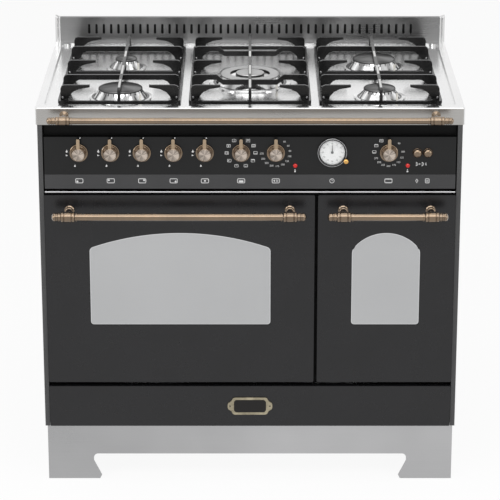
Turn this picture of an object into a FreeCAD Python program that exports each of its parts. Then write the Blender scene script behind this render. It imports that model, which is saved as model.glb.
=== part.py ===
import FreeCAD, Part
import os
from types import SimpleNamespace

import Sketcher
from FreeCAD import Placement, Rotation, Vector

# Range cooker with two ovens and five gas burners.
# X runs to the right, Y to the back from the hob's front edge, and Z up from the floor.
# Each piece is then moved forward so that the origin lies under the middle of the whole cooker.

SIZES = {
    # Whole cooker
    "cooker_width": 900, "cooker_depth": 600, "hob_height": 850,
    "steel_sheet": 1.2, "enamel_sheet": 1.2, "running_gap": 0.05, "part_gap": 0.3, "cut_overrun": 1,
    "body_side_gap": 4, "body_rear_gap": 20, "handle_reach": 65.5,
    # Heights down the front, from the hob to the plinth
    "hob_fascia": 36.5, "panel_recess_height": 26.2, "panel_face_height": 82.2, "panel_band_height": 31,
    "upper_vent_gap": 5.3, "trim_height": 3.3, "lower_vent_gap": 4.6, "door_foot_gap": 9.5,
    "drawer_height": 93, "drawer_foot_gap": 2, "plinth_height": 133,
    # Body
    "side_front": 2, "side_flange": 10, "side_rear_flange": 16, "frame_front": 22, "frame_side_strip": 2.8,
    "tray_wall": 7, "louvre_length": 90, "louvre_width": 5, "louvre_pitch": 22, "louvre_top_margin": 90,
    "fixing_hole_radius": 3.2, "fixing_hole_spacing": 320, "fixing_hole_height": 180,
    "terminal_box_width": 90, "terminal_box_height": 70, "terminal_box_depth": 18, "terminal_box_x": 300,
    "terminal_box_z": 430, "cable_gland_depth": 14, "cable_gland_bore": 5,
    # Plinth and feet
    "plinth_sheet": 1.5, "plinth_setback": 20, "plinth_side_gap": 3, "plinth_depth": 545, "plinth_flange": 14,
    "foot_width": 117, "foot_neck_width": 100, "foot_heel": 9, "foot_neck_height": 44, "arch_height": 59,
    "arch_radius": 9, "leg_radius": 15, "leg_pad_radius": 22, "leg_pad_height": 8, "leg_inset": 46,
    # Ovens
    "door_gap": 6.7, "small_door_width": 291, "oven_side_margin": 55, "oven_bottom_margin": 55,
    "oven_top_margin": 45, "oven_depth": 440, "insulation": 22, "service_window_width": 200,
    "service_window_height": 150, "seal_width": 8, "seal_depth": 3.7, "seal_margin": 5,
    "rack_rod": 2.5, "rack_upright": 3, "rack_wall_gap": 8, "rack_end_margin": 8, "shelf_rod": 3,
    "shelf_side_rod": 2.5, "shelf_wire": 1.8,
    "shelf_front_gap": 12, "shelf_rear_gap": 20, "shelf_side_gap": 2, "tray_depth": 26, "tray_lip": 9,
    "element_radius": 3.3, "element_wall_gap": 26, "element_front_gap": 70, "ring_element_radius": 82,
    "element_tail": 12, "element_tail_radius": 2.6, "element_hole_gap": 0.4,
    "fan_radius": 66, "fan_blade_depth": 16, "fan_hub_radius": 11, "fan_shaft_radius": 4,
    "fan_shaft_length": 34, "fan_plate": 1, "fan_wall_gap": 6, "fan_cover_width": 232, "fan_cover_depth": 34,
    "fan_slot_width": 5, "fan_slot_inner": 14, "fan_slot_outer": 58,
    "motor_radius": 31, "motor_length": 46, "motor_flange_radius": 54, "motor_flange": 2,
    "lamp_radius": 16, "lamp_flange": 3, "lamp_holder": 26, "lamp_corner_gap": 55,
    # Doors
    "door_front": -5, "door_side_gap": 1, "door_thickness": 18, "door_liner": 5, "door_sheet": 1.2,
    "door_corner": 3, "glass_thickness": 4, "glass_overlap": 15, "glass_seat": 0.2,
    "window_side_margin": 92, "small_window_margin": 71.5, "window_foot": 131.3, "window_head": 82.7,
    "window_arch_rise": 34.2, "small_window_arch_rise": 39, "window_corner": 8,
    "hinge_inset": 50, "hinge_pin_radius": 4, "hinge_y": 8, "hinge_rise": 8.5, "hinge_knuckle_width": 20,
    "hinge_knuckle_height": 26, "hinge_ear": 3, "hinge_ear_half": 6, "hinge_slot_gap": 1.5,
    "handle_drop": 32.9, "handle_radius": 8.1, "handle_y": -54, "handle_inset": 19, "handle_post_inset": 53,
    "handle_collar_length": 28, "handle_collar_radius": 11.5, "handle_post_radius": 6.2,
    "handle_rosette_radius": 9.5, "handle_rosette": 4, "handle_bore_gap": 0.02,
    # Drawer
    "drawer_wall": 1.2, "drawer_side_gap": 18, "drawer_depth": 470, "drawer_box_height": 64,
    "drawer_box_lift": 12, "drawer_lip": 8, "runner_height": 12,
    "badge_width": 97, "badge_height": 40, "badge_thickness": 3, "badge_ear": 8, "badge_lift": 47.5,
    # Control panel and what it carries
    "panel_half_gap": 17, "panel_recess": 15, "panel_sheet": 1.5, "panel_band_proud": 0.8,
    "control_row_drop": 34.3, "knob_dish_radius": 19.5, "knob_dish": 4, "knob_air": 1, "knob_hub_radius": 13.5,
    "knob_hub": 17, "knob_face_ring": 2, "knob_lever_half": 3.6, "knob_lever_reach": 34, "knob_lever_depth": 9,
    "knob_spindle_radius": 4, "knob_spindle_length": 34, "panel_hole_radius": 6,
    "tap_radius": 12, "tap_start": 27, "tap_length": 32, "manifold_radius": 8, "manifold_y": 66,
    "manifold_drop": 18, "manifold_bracket": 3, "inlet_radius": 10.48,
    "inlet_thread": 18, "inlet_x": 400, "inlet_hole_gap": 2, "burner_pipe_radius": 3.5,
    "front_pipe_rise": 40, "rear_pipe_rise": 29, "pipe_bend": 12,
    "control_window_head": 12, "control_window_foot": 70, "control_window_side": 36,
    "switch_half": 17, "switch_depth": 34, "switch_neck_radius": 8, "switch_neck": 24,
    "button_radius": 8.4, "button_cap": 6, "button_travel": 3, "button_air": 0.4, "button_stem_radius": 4,
    "button_stem": 14, "button_gap": 22.1, "button_switch_half": 9, "button_switch_depth": 20,
    "button_neck": 7, "lamp_lens_radius": 4.6, "lamp_lens_proud": 3, "lamp_body_radius": 3.6,
    "lamp_body_length": 18, "pilot_drop": 28.4, "trim_proud": 3,
    "clock_dial_radius": 26.2, "clock_ring_radius": 31, "clock_ring_depth": 8, "clock_cup_radius": 27.7,
    "clock_cup_inner": 24, "clock_cup_back": 2, "clock_dial": 1, "clock_dial_seat": 0.2, "clock_glass": 1.5,
    "clock_glass_seat": 1.5, "clock_movement_half": 28, "clock_movement_depth": 14, "clock_movement_reach": 42,
    "hand_thickness": 0.6, "hour_hand_seat": 1.1, "minute_hand_seat": 2.2, "hour_hand_length": 11,
    "minute_hand_length": 17, "hand_half_width": 1.1, "minute_arbor_radius": 0.8, "hour_tube_radius": 1.5,
    "set_knob_radius": 5.6, "set_knob_length": 6, "set_knob_air": 8.5, "set_knob_stem": 1.5,
    "set_knob_x": 28.9, "set_knob_drop": 17.4, "clock_row_rise": 1,
    # Hob
    "hob_rim": 17, "hob_recess": 6, "hob_edge_radius": 2.5, "hob_corner_radius": 6, "hob_recess_corner": 22,
    "splash_height": 58, "splash_depth": 12, "splash_end": 12, "splash_end_rise": 4, "slot_width": 5.8,
    "slot_height": 23, "slot_pitch": 16.9, "slot_lift": 19, "rail_radius": 6.9, "rail_y": -45,
    "rail_drop": 15.5, "rail_end_gap": 27, "rail_post_inset": 61, "rail_collar_length": 28,
    "rail_collar_radius": 9.6, "rail_post_radius": 5,
    "pan_gap": 17.5, "pan_side_margin": 45, "pan_front_margin": 40, "pan_rear_margin": 70, "pan_height": 38,
    "pan_ring": 7, "pan_ring_height": 7, "pan_inset": 4.5, "pan_shoulder": 8, "pan_foot": 3,
    "pan_foot_radius": 4, "pan_corner": 12,
    "pan_blade": 6, "pan_bar_depth": 11, "pan_tip_depth": 5, "pan_finger": 62, "pan_leg_top": 34,
    "pan_leg_foot": 14, "pan_dip": 11, "pan_dip_half": 58, "pan_dip_slope": 14, "pan_spine": 6.5,
    "pan_spine_depth": 9, "pan_spine_leg": 24, "pan_low_bar": 9,
    "burner_flange": 2.5, "burner_head_height": 16, "burner_head_top": 4, "burner_wall": 3, "burner_cup": 34,
    "burner_cap": 8, "burner_cap_lip": 3, "burner_cap_over": 1, "burner_port_depth": 5,
    "burner_port_width": 2.4, "burner_hole_margin": 14, "electrode_radius": 2.4,
    "electrode_rise": 15, "electrode_tail": 18, "inner_cap_rise": 2.5,
}

# Places on the front, as shares of half the panel's width
GAS_KNOB_SHARES = {
    "gas_knob_left_front": -0.8312, "gas_knob_left_rear": -0.678, "gas_knob_right_rear": -0.525,
    "gas_knob_right_front": -0.3718, "gas_knob_centre": -0.2194,
}
OVEN_KNOB_SHARES = {"oven_function_knob": -0.0432, "thermostat_knob": 0.1256, "small_oven_knob": 0.6741}
PILOT_SHARES = (0.2199, 0.7667)
CLOCK_SHARE = 0.3991
BUTTON_SHARE = 0.8122

# Burners: place across as a share of a pan support's pitch, place back as a share of the hob's depth,
# then cap, skirt and flange radius as shares of the hob's depth
BURNER_SHARES = {
    "left_front": (-1, 0.1833, 0.0783, 0.095, 0.1117),
    "left_rear": (-1, 0.6133, 0.0408, 0.0567, 0.075),
    "right_rear": (1, 0.6133, 0.0783, 0.095, 0.1117),
    "right_front": (1, 0.1833, 0.0567, 0.075, 0.0917),
    "centre": (0, 0.3883, 0.1067, 0.1233, 0.1483),
}
GAS_KNOB_FEEDS = ("left_front", "left_rear", "right_rear", "right_front", "centre")
CENTRE_GROOVE_SHARE = 0.67
CENTRE_INNER_SHARE = 0.484
DIAGONAL_SHARE = 0.7071

# Places down a pan support, as shares of its depth
PAN_BAR_SHARES = (0.239, 0.761)
PAN_FINGER_SHARES = (0.06, 0.5, 0.94)
# The hollow underside of a pan support's leg, as shares of a finger's length and of the support's height
LEG_SHARES = ((0.29, 0.7), (0.42, 0.43), (0.63, 0.25))
SHOULDER_SHARE = 0.29

# Heights inside an oven and counts, which no size changes
RACK_SHARES = (0.22, 0.42, 0.62, 0.82)
RACK_BOSS_SHARES = (0.32, 0.72)
SHELF_SHARE = 0.62
TRAY_SHARE = 0.22
SHELF_WIRES = 15
GRILL_PASSES = {"main": 6, "small": 4}
FAN_BLADES = 10
FAN_SLOTS = 16
LOUVRES = 12
SPLASH_SLOTS = 45
SLOT_CROWN_SHARE = 0.8
BURNER_PORTS = 24
SHELF_INSET_SHARE = 1.5
LEVER_FOOT_SHARE = 1.3
LEVER_TIP_SHARE = 0.9
HAND_ROOT_SHARE = 0.7
SAME_PLACE = 1e-3
SAME_DIRECTION = 1e-6

doc = FreeCAD.newDocument("RangeCooker")
sheet = doc.addObject("Spreadsheet::Sheet", "Sizes")
nodes = {}


class Size:
    """A number of millimetres with the sheet formula that gives it."""

    def __init__(self, value, formula):
        self.value = float(value)
        self.formula = formula

    def __add__(self, other):
        other = size_of(other)
        return Size(self.value + other.value, f"({self.formula} + {other.formula})")

    def __sub__(self, other):
        other = size_of(other)
        return Size(self.value - other.value, f"({self.formula} - {other.formula})")

    def __mul__(self, other):
        other = size_of(other)
        return Size(self.value * other.value, f"({self.formula} * {other.formula})")

    def __truediv__(self, other):
        other = size_of(other)
        return Size(self.value / other.value, f"({self.formula} / {other.formula})")

    def __neg__(self):
        return Size(-self.value, f"(0 - {self.formula})")

    __radd__ = __add__
    __rmul__ = __mul__


def size_of(number):
    """A plain number as a Size, and a Size as it is."""
    if isinstance(number, Size):
        return number
    return Size(number, f"({float(number)!r})")


def bind(thing, prop, size):
    """Set a property from the sheet."""
    thing.setExpression(prop, size_of(size).formula)


for row, (alias, number) in enumerate(SIZES.items(), start=1):
    sheet.set(f"A{row}", alias.replace("_", " "))
    sheet.set(f"B{row}", str(number))
    sheet.setAlias(f"B{row}", alias)
doc.recompute()
s = SimpleNamespace(**{alias: Size(number, f"Sizes.{alias}") for alias, number in SIZES.items()})

# Levels and faces that several pieces share
half_width = s.cooker_width / 2
body_half = half_width - s.body_side_gap
inner_half = body_half - s.steel_sheet
rear_face = s.cooker_depth - s.body_rear_gap
rear_inner = rear_face - s.steel_sheet
hob_bottom = s.hob_height - s.hob_fascia
hob_floor = s.hob_height - s.hob_recess
hob_underside = hob_floor - s.steel_sheet
rim_underside = s.hob_height - s.steel_sheet
panel_face_top = hob_bottom - s.panel_recess_height
panel_band_top = panel_face_top - s.panel_face_height
panel_bottom = panel_band_top - s.panel_band_height
trim_top = panel_bottom - s.upper_vent_gap
trim_bottom = trim_top - s.trim_height
door_top = trim_bottom - s.lower_vent_gap
drawer_bottom = s.plinth_height + s.drawer_foot_gap
drawer_top = drawer_bottom + s.drawer_height
door_bottom = drawer_top + s.door_foot_gap
tray_floor = s.plinth_height + s.steel_sheet
door_half = body_half - s.side_flange - s.door_side_gap
door_split = door_half - s.small_door_width
frame_rear = s.frame_front + s.steel_sheet
panel_half = half_width - s.panel_half_gap
control_row = panel_face_top - s.control_row_drop
shift = (s.handle_reach - s.cooker_depth) / 2

DOORS = {
    "main": SimpleNamespace(left=-door_half, right=door_split - s.door_gap, margin=s.window_side_margin,
                            rise=s.window_arch_rise),
    "small": SimpleNamespace(left=door_split, right=door_half, margin=s.small_window_margin,
                             rise=s.small_window_arch_rise),
}
for door in DOORS.values():
    door.centre = (door.left + door.right) / 2
    door.oven_left = door.left + s.oven_side_margin
    door.oven_right = door.right - s.oven_side_margin
    door.hinges = (door.left + s.hinge_inset, door.right - s.hinge_inset)
    door.posts = (door.left + s.handle_post_inset, door.right - s.handle_post_inset)
oven_bottom = door_bottom + s.oven_bottom_margin
oven_top = door_top - s.oven_top_margin
oven_height = oven_top - oven_bottom
oven_front = frame_rear
oven_rear = oven_front + s.oven_depth
wall_rear = oven_rear + s.enamel_sheet
oven_middle = (oven_bottom + oven_top) / 2

pan_span = half_width - s.pan_side_margin
pan_width = (pan_span * 2 - s.pan_gap * 2) / 3
pan_pitch = pan_width + s.pan_gap
pan_front = s.pan_front_margin
pan_rear = s.cooker_depth - s.pan_rear_margin
pan_depth = pan_rear - pan_front
pan_bottom = hob_floor + s.pan_foot
pan_ring_top = pan_bottom + s.pan_ring_height
pan_top = hob_floor + s.pan_height


# Primitives, each with every size bound to the sheet
def place(thing, x=0, y=0, z=0):
    """Bind where a piece stands."""
    for axis, size in (("x", x), ("y", y), ("z", z)):
        bind(thing, f"Placement.Base.{axis}", size)
    return thing


def box(x0, x1, y0, y1, z0, z1):
    """A block between two corners."""
    block = doc.addObject("Part::Box", "Block")
    bind(block, "Length", size_of(x1) - x0)
    bind(block, "Width", size_of(y1) - y0)
    bind(block, "Height", size_of(z1) - z0)
    return place(block, x0, y0, z0)


TURNS = {
    "X": Rotation(Vector(0, 1, 0), 90),
    "Y": Rotation(Vector(1, 0, 0), -90),
    "Z": Rotation(),
}


def rod(axis, start, end, x, y, z, radius):
    """A cylinder along an axis, from start to end, with its other two coordinates given."""
    cylinder = doc.addObject("Part::Cylinder", "Rod")
    bind(cylinder, "Radius", radius)
    bind(cylinder, "Height", size_of(end) - start)
    cylinder.Placement = Placement(Vector(), TURNS[axis])
    at = {"X": (start, y, z), "Y": (x, start, z), "Z": (x, y, start)}[axis]
    return place(cylinder, *at)


def cone(axis, start, end, x, y, z, start_radius, end_radius):
    """A cone along an axis, from start to end."""
    solid = doc.addObject("Part::Cone", "Cone")
    bind(solid, "Radius1", start_radius)
    bind(solid, "Radius2", end_radius)
    bind(solid, "Height", size_of(end) - start)
    solid.Placement = Placement(Vector(), TURNS[axis])
    at = {"X": (start, y, z), "Y": (x, start, z), "Z": (x, y, start)}[axis]
    return place(solid, *at)


def ball(x, y, z, radius):
    """A ball."""
    solid = doc.addObject("Part::Sphere", "Ball")
    bind(solid, "Radius", radius)
    return place(solid, x, y, z)


def ring(axis, x, y, z, radius, tube):
    """A round ring about an axis."""
    solid = doc.addObject("Part::Torus", "Ring")
    bind(solid, "Radius1", radius)
    bind(solid, "Radius2", tube)
    solid.Placement = Placement(Vector(), TURNS[axis])
    return place(solid, x, y, z)


def group(*pieces):
    """Separate solids kept as one node."""
    compound = doc.addObject("Part::Compound", "Group")
    compound.Links = list(pieces)
    return compound


def fuse(*pieces):
    """Solids joined as one."""
    joined = doc.addObject("Part::MultiFuse", "Joined")
    joined.Shapes = list(pieces)
    joined.Refine = True
    return joined


def cut(base, *tools):
    """A solid with others taken out of it."""
    result = doc.addObject("Part::Cut", "Cut")
    result.Base = base
    result.Tool = tools[0] if len(tools) == 1 else group(*tools)
    return result


# PartDesign bodies: sketches on the origin planes, then pads, pockets and revolutions
def new_body():
    return doc.addObject("PartDesign::Body", "Body")


def rectangle(a0, a1, b0, b1):
    """Outline of a rectangle in sketch coordinates."""
    return [(a0, b0), (a1, b0), (a1, b1), (a0, b1)]


def circle(a, b, radius):
    return ("circle", a, b, radius)


def draw(body, plane, at, outlines):
    """Sketch closed outlines on a plane of the body, each coordinate bound to the sheet."""
    sketch = body.newObject("Sketcher::SketchObject", "Sketch")
    origin = [item for item in body.Origin.OriginFeatures if item.Role == plane + "_Plane"][0]
    sketch.AttachmentSupport = [(origin, "")]
    sketch.MapMode = "FlatFace"
    offset = -size_of(at) if plane == "XZ" else size_of(at)
    sketch.AttachmentOffset = Placement(Vector(0, 0, offset.value), Rotation())
    bind(sketch, "AttachmentOffset.Base.z", offset)
    for outline in outlines:
        if outline[0] == "circle":
            draw_circle(sketch, *outline[1:])
        else:
            draw_outline(sketch, outline)
    return sketch


def fix_point(sketch, edge, point, a, b):
    """Hold a point of an edge at two bound coordinates."""
    for kind, size in (("DistanceX", size_of(a)), ("DistanceY", size_of(b))):
        number = sketch.addConstraint(Sketcher.Constraint(kind, -1, 1, edge, point, size.value))
        sketch.setExpression(f"Constraints[{number}]", size.formula)


def draw_circle(sketch, a, b, radius):
    a, b, radius = size_of(a), size_of(b), size_of(radius)
    edge = sketch.addGeometry(Part.Circle(Vector(a.value, b.value, 0), Vector(0, 0, 1), radius.value))
    fix_point(sketch, edge, 3, a, b)
    number = sketch.addConstraint(Sketcher.Constraint("Radius", edge, radius.value))
    sketch.setExpression(f"Constraints[{number}]", radius.formula)


def draw_outline(sketch, points):
    """Straight sides between points, or an arc after a point that also gives its rise."""
    places = [(size_of(point[0]), size_of(point[1])) for point in points]
    first = sketch.GeometryCount
    for index, point in enumerate(points):
        a, b = places[index]
        c, d = places[(index + 1) % len(points)]
        start = Vector(a.value, b.value, 0)
        end = Vector(c.value, d.value, 0)
        if len(point) == 3:
            middle = (start + end) / 2
            side = Vector(end.y - start.y, start.x - end.x, 0).normalize()
            top = middle + side * size_of(point[2]).value
            sketch.addGeometry(Part.ArcOfCircle(start, top, end))
        else:
            sketch.addGeometry(Part.LineSegment(start, end))
    for index, point in enumerate(points):
        edge = first + index
        following = first + (index + 1) % len(points)
        edge_end, next_start = end_points(sketch, edge, following, places[(index + 1) % len(points)])
        sketch.addConstraint(Sketcher.Constraint("Coincident", edge, edge_end, following, next_start))
    for index, point in enumerate(points):
        edge = first + index
        fix_point(sketch, edge, nearest_end(sketch, edge, places[index]), *places[index])
        if len(point) == 3:
            bind_arc(sketch, edge, places[index], places[(index + 1) % len(points)], size_of(point[2]))


def nearest_end(sketch, edge, place_pair):
    """Which end of an edge, 1 or 2, lies at a place."""
    target = Vector(place_pair[0].value, place_pair[1].value, 0)
    return min((1, 2), key=lambda end: sketch.getPoint(edge, end).distanceToPoint(target))


def end_points(sketch, edge, following, place_pair):
    return nearest_end(sketch, edge, place_pair), nearest_end(sketch, following, place_pair)


def bind_arc(sketch, edge, start, end, rise):
    """Give an arc the radius that its chord and rise make, for a level or upright chord."""
    chord = (end[0] - start[0]) + (end[1] - start[1])
    half_chord = chord / 2
    radius = (half_chord * half_chord + rise * rise) / (rise * 2)
    number = sketch.addConstraint(Sketcher.Constraint("Radius", edge, abs(radius.value)))
    formula = radius.formula if radius.value > 0 else (-radius).formula
    sketch.setExpression(f"Constraints[{number}]", formula)


def pad(body, plane, at, thickness, *outlines):
    """Raise a plate from a plane, towards the positive axis."""
    sketch = draw(body, plane, at, outlines)
    plate = body.newObject("PartDesign::Pad", "Pad")
    plate.Profile = sketch
    bind(plate, "Length", thickness)
    plate.Reversed = plane == "XZ"
    doc.recompute()
    return plate


def pocket(body, plane, at, depth, *outlines):
    """Take material away from a plane, towards the positive axis."""
    before = body.Shape.Volume
    sketch = draw(body, plane, at, outlines)
    hollow = body.newObject("PartDesign::Pocket", "Pocket")
    hollow.Profile = sketch
    bind(hollow, "Length", depth)
    hollow.Reversed = plane != "XZ"
    doc.recompute()
    if not body.Shape.Volume < before:
        raise ValueError(f"pocket in {body.Name} takes nothing away")
    return hollow


def pattern(body, feature, plane_axis, length, count):
    """Repeat the last feature along an axis of its body."""
    row = body.newObject("PartDesign::LinearPattern", "Row")
    row.Originals = [feature]
    axis = [item for item in body.Origin.OriginFeatures if item.Role == plane_axis + "_Axis"][0]
    row.Direction = (axis, [""])
    bind(row, "Length", length)
    row.Occurrences = count
    body.Tip = row
    doc.recompute()
    return row


def turn_pattern(body, feature, plane_axis, count):
    """Repeat the last feature round an axis of its body."""
    star = body.newObject("PartDesign::PolarPattern", "Star")
    star.Originals = [feature]
    axis = [item for item in body.Origin.OriginFeatures if item.Role == plane_axis + "_Axis"][0]
    star.Axis = (axis, [""])
    star.Angle = 360
    star.Occurrences = count
    body.Tip = star
    doc.recompute()
    return star


def revolve(body, axis, points):
    """Turn an outline of radius and length about the body's Y or Z axis."""
    sketch = draw(body, "XY" if axis == "Y" else "XZ", 0, [points])
    turned = body.newObject("PartDesign::Revolution", "Turned")
    turned.Profile = sketch
    turned.ReferenceAxis = (sketch, ["V_Axis"])
    turned.Angle = 360
    doc.recompute()
    return turned


def round_edges(body, radius, choose):
    """Fillet the edges of the body's last feature that choose picks."""
    base = body.Tip
    names = [f"Edge{n}" for n, edge in enumerate(base.Shape.Edges, start=1) if choose(edge)]
    fillet = body.newObject("PartDesign::Fillet", "Fillet")
    fillet.Base = (base, names)
    bind(fillet, "Radius", radius)
    doc.recompute()
    return fillet


def runs_along(edge, axis):
    """Whether a straight edge runs along X, Y or Z."""
    if not isinstance(edge.Curve, Part.Line):
        return False
    return abs(getattr(edge.tangentAt(edge.FirstParameter), axis.lower())) > 1 - SAME_DIRECTION


def at_corner(edge, places, axes):
    """Whether an edge's middle lies at one of some pairs of coordinates."""
    middle = edge.CenterOfMass
    pair = (getattr(middle, axes[0]), getattr(middle, axes[1]))
    for a, b in places:
        if max(abs(pair[0] - size_of(a).value), abs(pair[1] - size_of(b).value)) < SAME_PLACE:
            return True
    return False


def bent_tube(points, radius, bend):
    """A tube along straight runs joined by arcs of one bend radius."""
    corners = [Vector(*[size_of(value).value for value in point]) for point in points]
    edges = []
    last = corners[0]
    for before, corner, after in zip(corners, corners[1:], corners[2:]):
        into = (corner - before).normalize()
        out = (after - corner).normalize()
        setback = bend.value * into.cross(out).Length / (1 + into.dot(out))
        start = corner - into * setback
        end = corner + out * setback
        edges.append(Part.LineSegment(last, start).toShape())
        reach = (setback ** 2 + bend.value ** 2) ** 0.5 - bend.value
        middle = corner + (end + start - corner * 2).normalize() * reach
        edges.append(Part.Arc(start, middle, end).toShape())
        last = end
    edges.append(Part.LineSegment(last, corners[-1]).toShape())
    first = (corners[1] - corners[0]).normalize()
    profile = Part.Wire([Part.makeCircle(radius.value, corners[0], first)])
    tube = doc.addObject("Part::Feature", "Tube")
    tube.Shape = Part.Wire(edges).makePipeShell([profile], True, False)
    return tube


def node(name, thing, moved=True):
    """Name a finished piece and move it so that the cooker stands over the origin."""
    thing.Label = name
    if moved:
        bind(thing, "Placement.Base.y", shift)
    nodes[name] = thing
    return thing


# Body of the cooker
def base_tray():
    body = new_body()
    top = tray_floor + s.tray_wall
    pad(body, "XY", s.plinth_height, top - s.plinth_height,
        rectangle(-inner_half, inner_half, frame_rear, rear_inner - s.steel_sheet))
    pocket(body, "XY", tray_floor, s.tray_wall,
           rectangle(-inner_half + s.steel_sheet, inner_half - s.steel_sheet,
                     frame_rear + s.steel_sheet, rear_inner - s.steel_sheet * 2))
    node("base_tray", body)


def side_panels():
    for name, side in (("side_panel_left", -1), ("side_panel_right", 1)):
        body = new_body()
        outer = body_half * side
        inner = inner_half * side
        front_lip = (body_half - s.side_flange) * side
        rear_lip = (body_half - s.side_rear_flange) * side
        front_inner = s.side_front + s.steel_sheet
        rear_lip_front = rear_inner - s.steel_sheet
        outline = [
            (outer, s.side_front), (front_lip, s.side_front), (front_lip, front_inner),
            (inner, front_inner), (inner, rear_lip_front), (rear_lip, rear_lip_front),
            (rear_lip, rear_inner), (inner, rear_inner), (inner, rear_face), (outer, rear_face),
        ]
        pad(body, "XY", s.plinth_height, rim_underside - s.plinth_height, outline)
        node(name, body)


def rear_panel():
    body = new_body()
    foot = tray_floor + s.tray_wall
    pad(body, "XZ", rear_inner, s.steel_sheet,
        rectangle(-inner_half, inner_half, s.plinth_height, hob_underside))
    first = hob_underside - s.louvre_top_margin
    for side in (-1, 1):
        middle = inner_half / 2 * side
        louvre = pocket(body, "XZ", rear_inner, s.steel_sheet,
                        rectangle(middle - s.louvre_length / 2, middle + s.louvre_length / 2,
                                  foot + s.louvre_pitch, foot + s.louvre_pitch + s.louvre_width))
        pattern(body, louvre, "Z", (first - foot) / 3, LOUVRES)
    holes = [circle(s.fixing_hole_spacing / 2 * side, s.fixing_hole_height, s.fixing_hole_radius)
             for side in (-1, 1)]
    holes.append(circle(s.inlet_x, control_row - s.manifold_drop, s.inlet_radius + s.inlet_hole_gap))
    pocket(body, "XZ", rear_inner, s.steel_sheet, *holes)
    cover = box(s.terminal_box_x - s.terminal_box_width / 2, s.terminal_box_x + s.terminal_box_width / 2,
                rear_face, rear_face + s.terminal_box_depth,
                s.terminal_box_z, s.terminal_box_z + s.terminal_box_height)
    hollow = box(s.terminal_box_x - s.terminal_box_width / 2 + s.steel_sheet,
                 s.terminal_box_x + s.terminal_box_width / 2 - s.steel_sheet,
                 rear_face, rear_face + s.terminal_box_depth - s.steel_sheet,
                 s.terminal_box_z + s.steel_sheet,
                 s.terminal_box_z + s.terminal_box_height - s.steel_sheet)
    gland_y = rear_face + s.terminal_box_depth / 2
    gland = rod("Z", s.terminal_box_z - s.cable_gland_depth, s.terminal_box_z,
                s.terminal_box_x, gland_y, 0, s.terminal_box_depth / 2)
    bore = rod("Z", s.terminal_box_z - s.cable_gland_depth - s.cut_overrun,
               s.terminal_box_z + s.steel_sheet + s.cut_overrun,
               s.terminal_box_x, gland_y, 0, s.cable_gland_bore)
    node("rear_panel", group(body, cut(fuse(cover, gland), hollow, bore)))


def front_frame():
    body = new_body()
    window_top = hob_bottom - s.control_window_head
    window_bottom = door_top + s.control_window_foot / 2
    window_half = inner_half - s.control_window_side
    drawer_hole = rectangle(-(inner_half - s.frame_side_strip), inner_half - s.frame_side_strip,
                            drawer_bottom + s.drawer_box_lift / 2, drawer_top - s.drawer_foot_gap)
    outlines = [rectangle(-inner_half, inner_half, s.plinth_height, hob_underside), drawer_hole,
                rectangle(-window_half, window_half, window_bottom, window_top)]
    for door in DOORS.values():
        outlines.append(rectangle(door.oven_left, door.oven_right, oven_bottom, oven_top))
    pad(body, "XZ", s.frame_front, s.steel_sheet, *outlines)
    node("front_frame", body)


def plinth():
    body = new_body()
    half = body_half - s.plinth_side_gap
    inner = half - s.plinth_sheet
    front = s.plinth_setback
    back = front + s.plinth_depth
    pad(body, "XY", 0, s.plinth_height, rectangle(-half, half, front, back))
    pocket(body, "XY", 0, s.plinth_height - s.plinth_sheet,
           rectangle(-inner, inner, front + s.plinth_sheet, back - s.plinth_sheet))
    pocket(body, "XY", s.plinth_height - s.plinth_sheet, s.plinth_sheet,
           rectangle(-inner + s.plinth_flange, inner - s.plinth_flange,
                     front + s.plinth_flange, back - s.plinth_flange))
    foot = half - s.foot_width
    neck = half - s.foot_neck_width
    heel_top = s.foot_heel
    arch = [
        (-foot - s.foot_heel / 2, 0), (foot + s.foot_heel / 2, 0), (foot, heel_top),
        (neck, s.foot_neck_height), (neck, s.arch_height), (-neck, s.arch_height),
        (-neck, s.foot_neck_height), (-foot, heel_top),
    ]
    pocket(body, "XZ", front, s.plinth_sheet, arch)
    side_foot = s.foot_width
    side_neck = s.foot_neck_width
    side_arch = [
        (front + side_foot - s.foot_heel / 2, 0), (back - side_foot + s.foot_heel / 2, 0),
        (back - side_foot, heel_top), (back - side_neck, s.foot_neck_height),
        (back - side_neck, s.arch_height), (front + side_neck, s.arch_height),
        (front + side_neck, s.foot_neck_height), (front + side_foot, heel_top),
    ]
    pocket(body, "YZ", -half, half * 2, side_arch)
    pocket(body, "XZ", back - s.plinth_sheet, s.plinth_sheet,
           rectangle(-inner + s.plinth_flange, inner - s.plinth_flange, 0, s.plinth_height - s.plinth_flange))
    corners = [(neck, s.arch_height), (-neck, s.arch_height)]
    side_corners = [(front + side_neck, s.arch_height), (back - side_neck, s.arch_height)]
    round_edges(body, s.arch_radius,
                lambda edge: (runs_along(edge, "Y") and at_corner(edge, corners, "xz"))
                or (runs_along(edge, "X") and at_corner(edge, side_corners, "yz")))
    node("plinth", body)


def levelling_feet():
    legs = []
    near = s.plinth_setback + s.leg_inset
    far = s.plinth_setback + s.plinth_depth - s.leg_inset
    for x in (-(body_half - s.leg_inset), body_half - s.leg_inset):
        for y in (near, far):
            leg = rod("Z", s.leg_pad_height, s.plinth_height, x, y, 0, s.leg_radius)
            sole = rod("Z", 0, s.leg_pad_height, x, y, 0, s.leg_pad_radius)
            legs.append(fuse(leg, sole))
    node("levelling_feet", group(*legs))


# Ovens
def element_tails(door):
    """Where the element's two tails pass through an oven's rear wall, as X and Z."""
    height = oven_top - s.element_wall_gap
    return [(door.oven_left + s.element_wall_gap, height), (door.oven_right - s.element_wall_gap, height)]


def lamp_place(door):
    return (door.oven_left + s.lamp_corner_gap, oven_middle + oven_height / 4)


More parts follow.
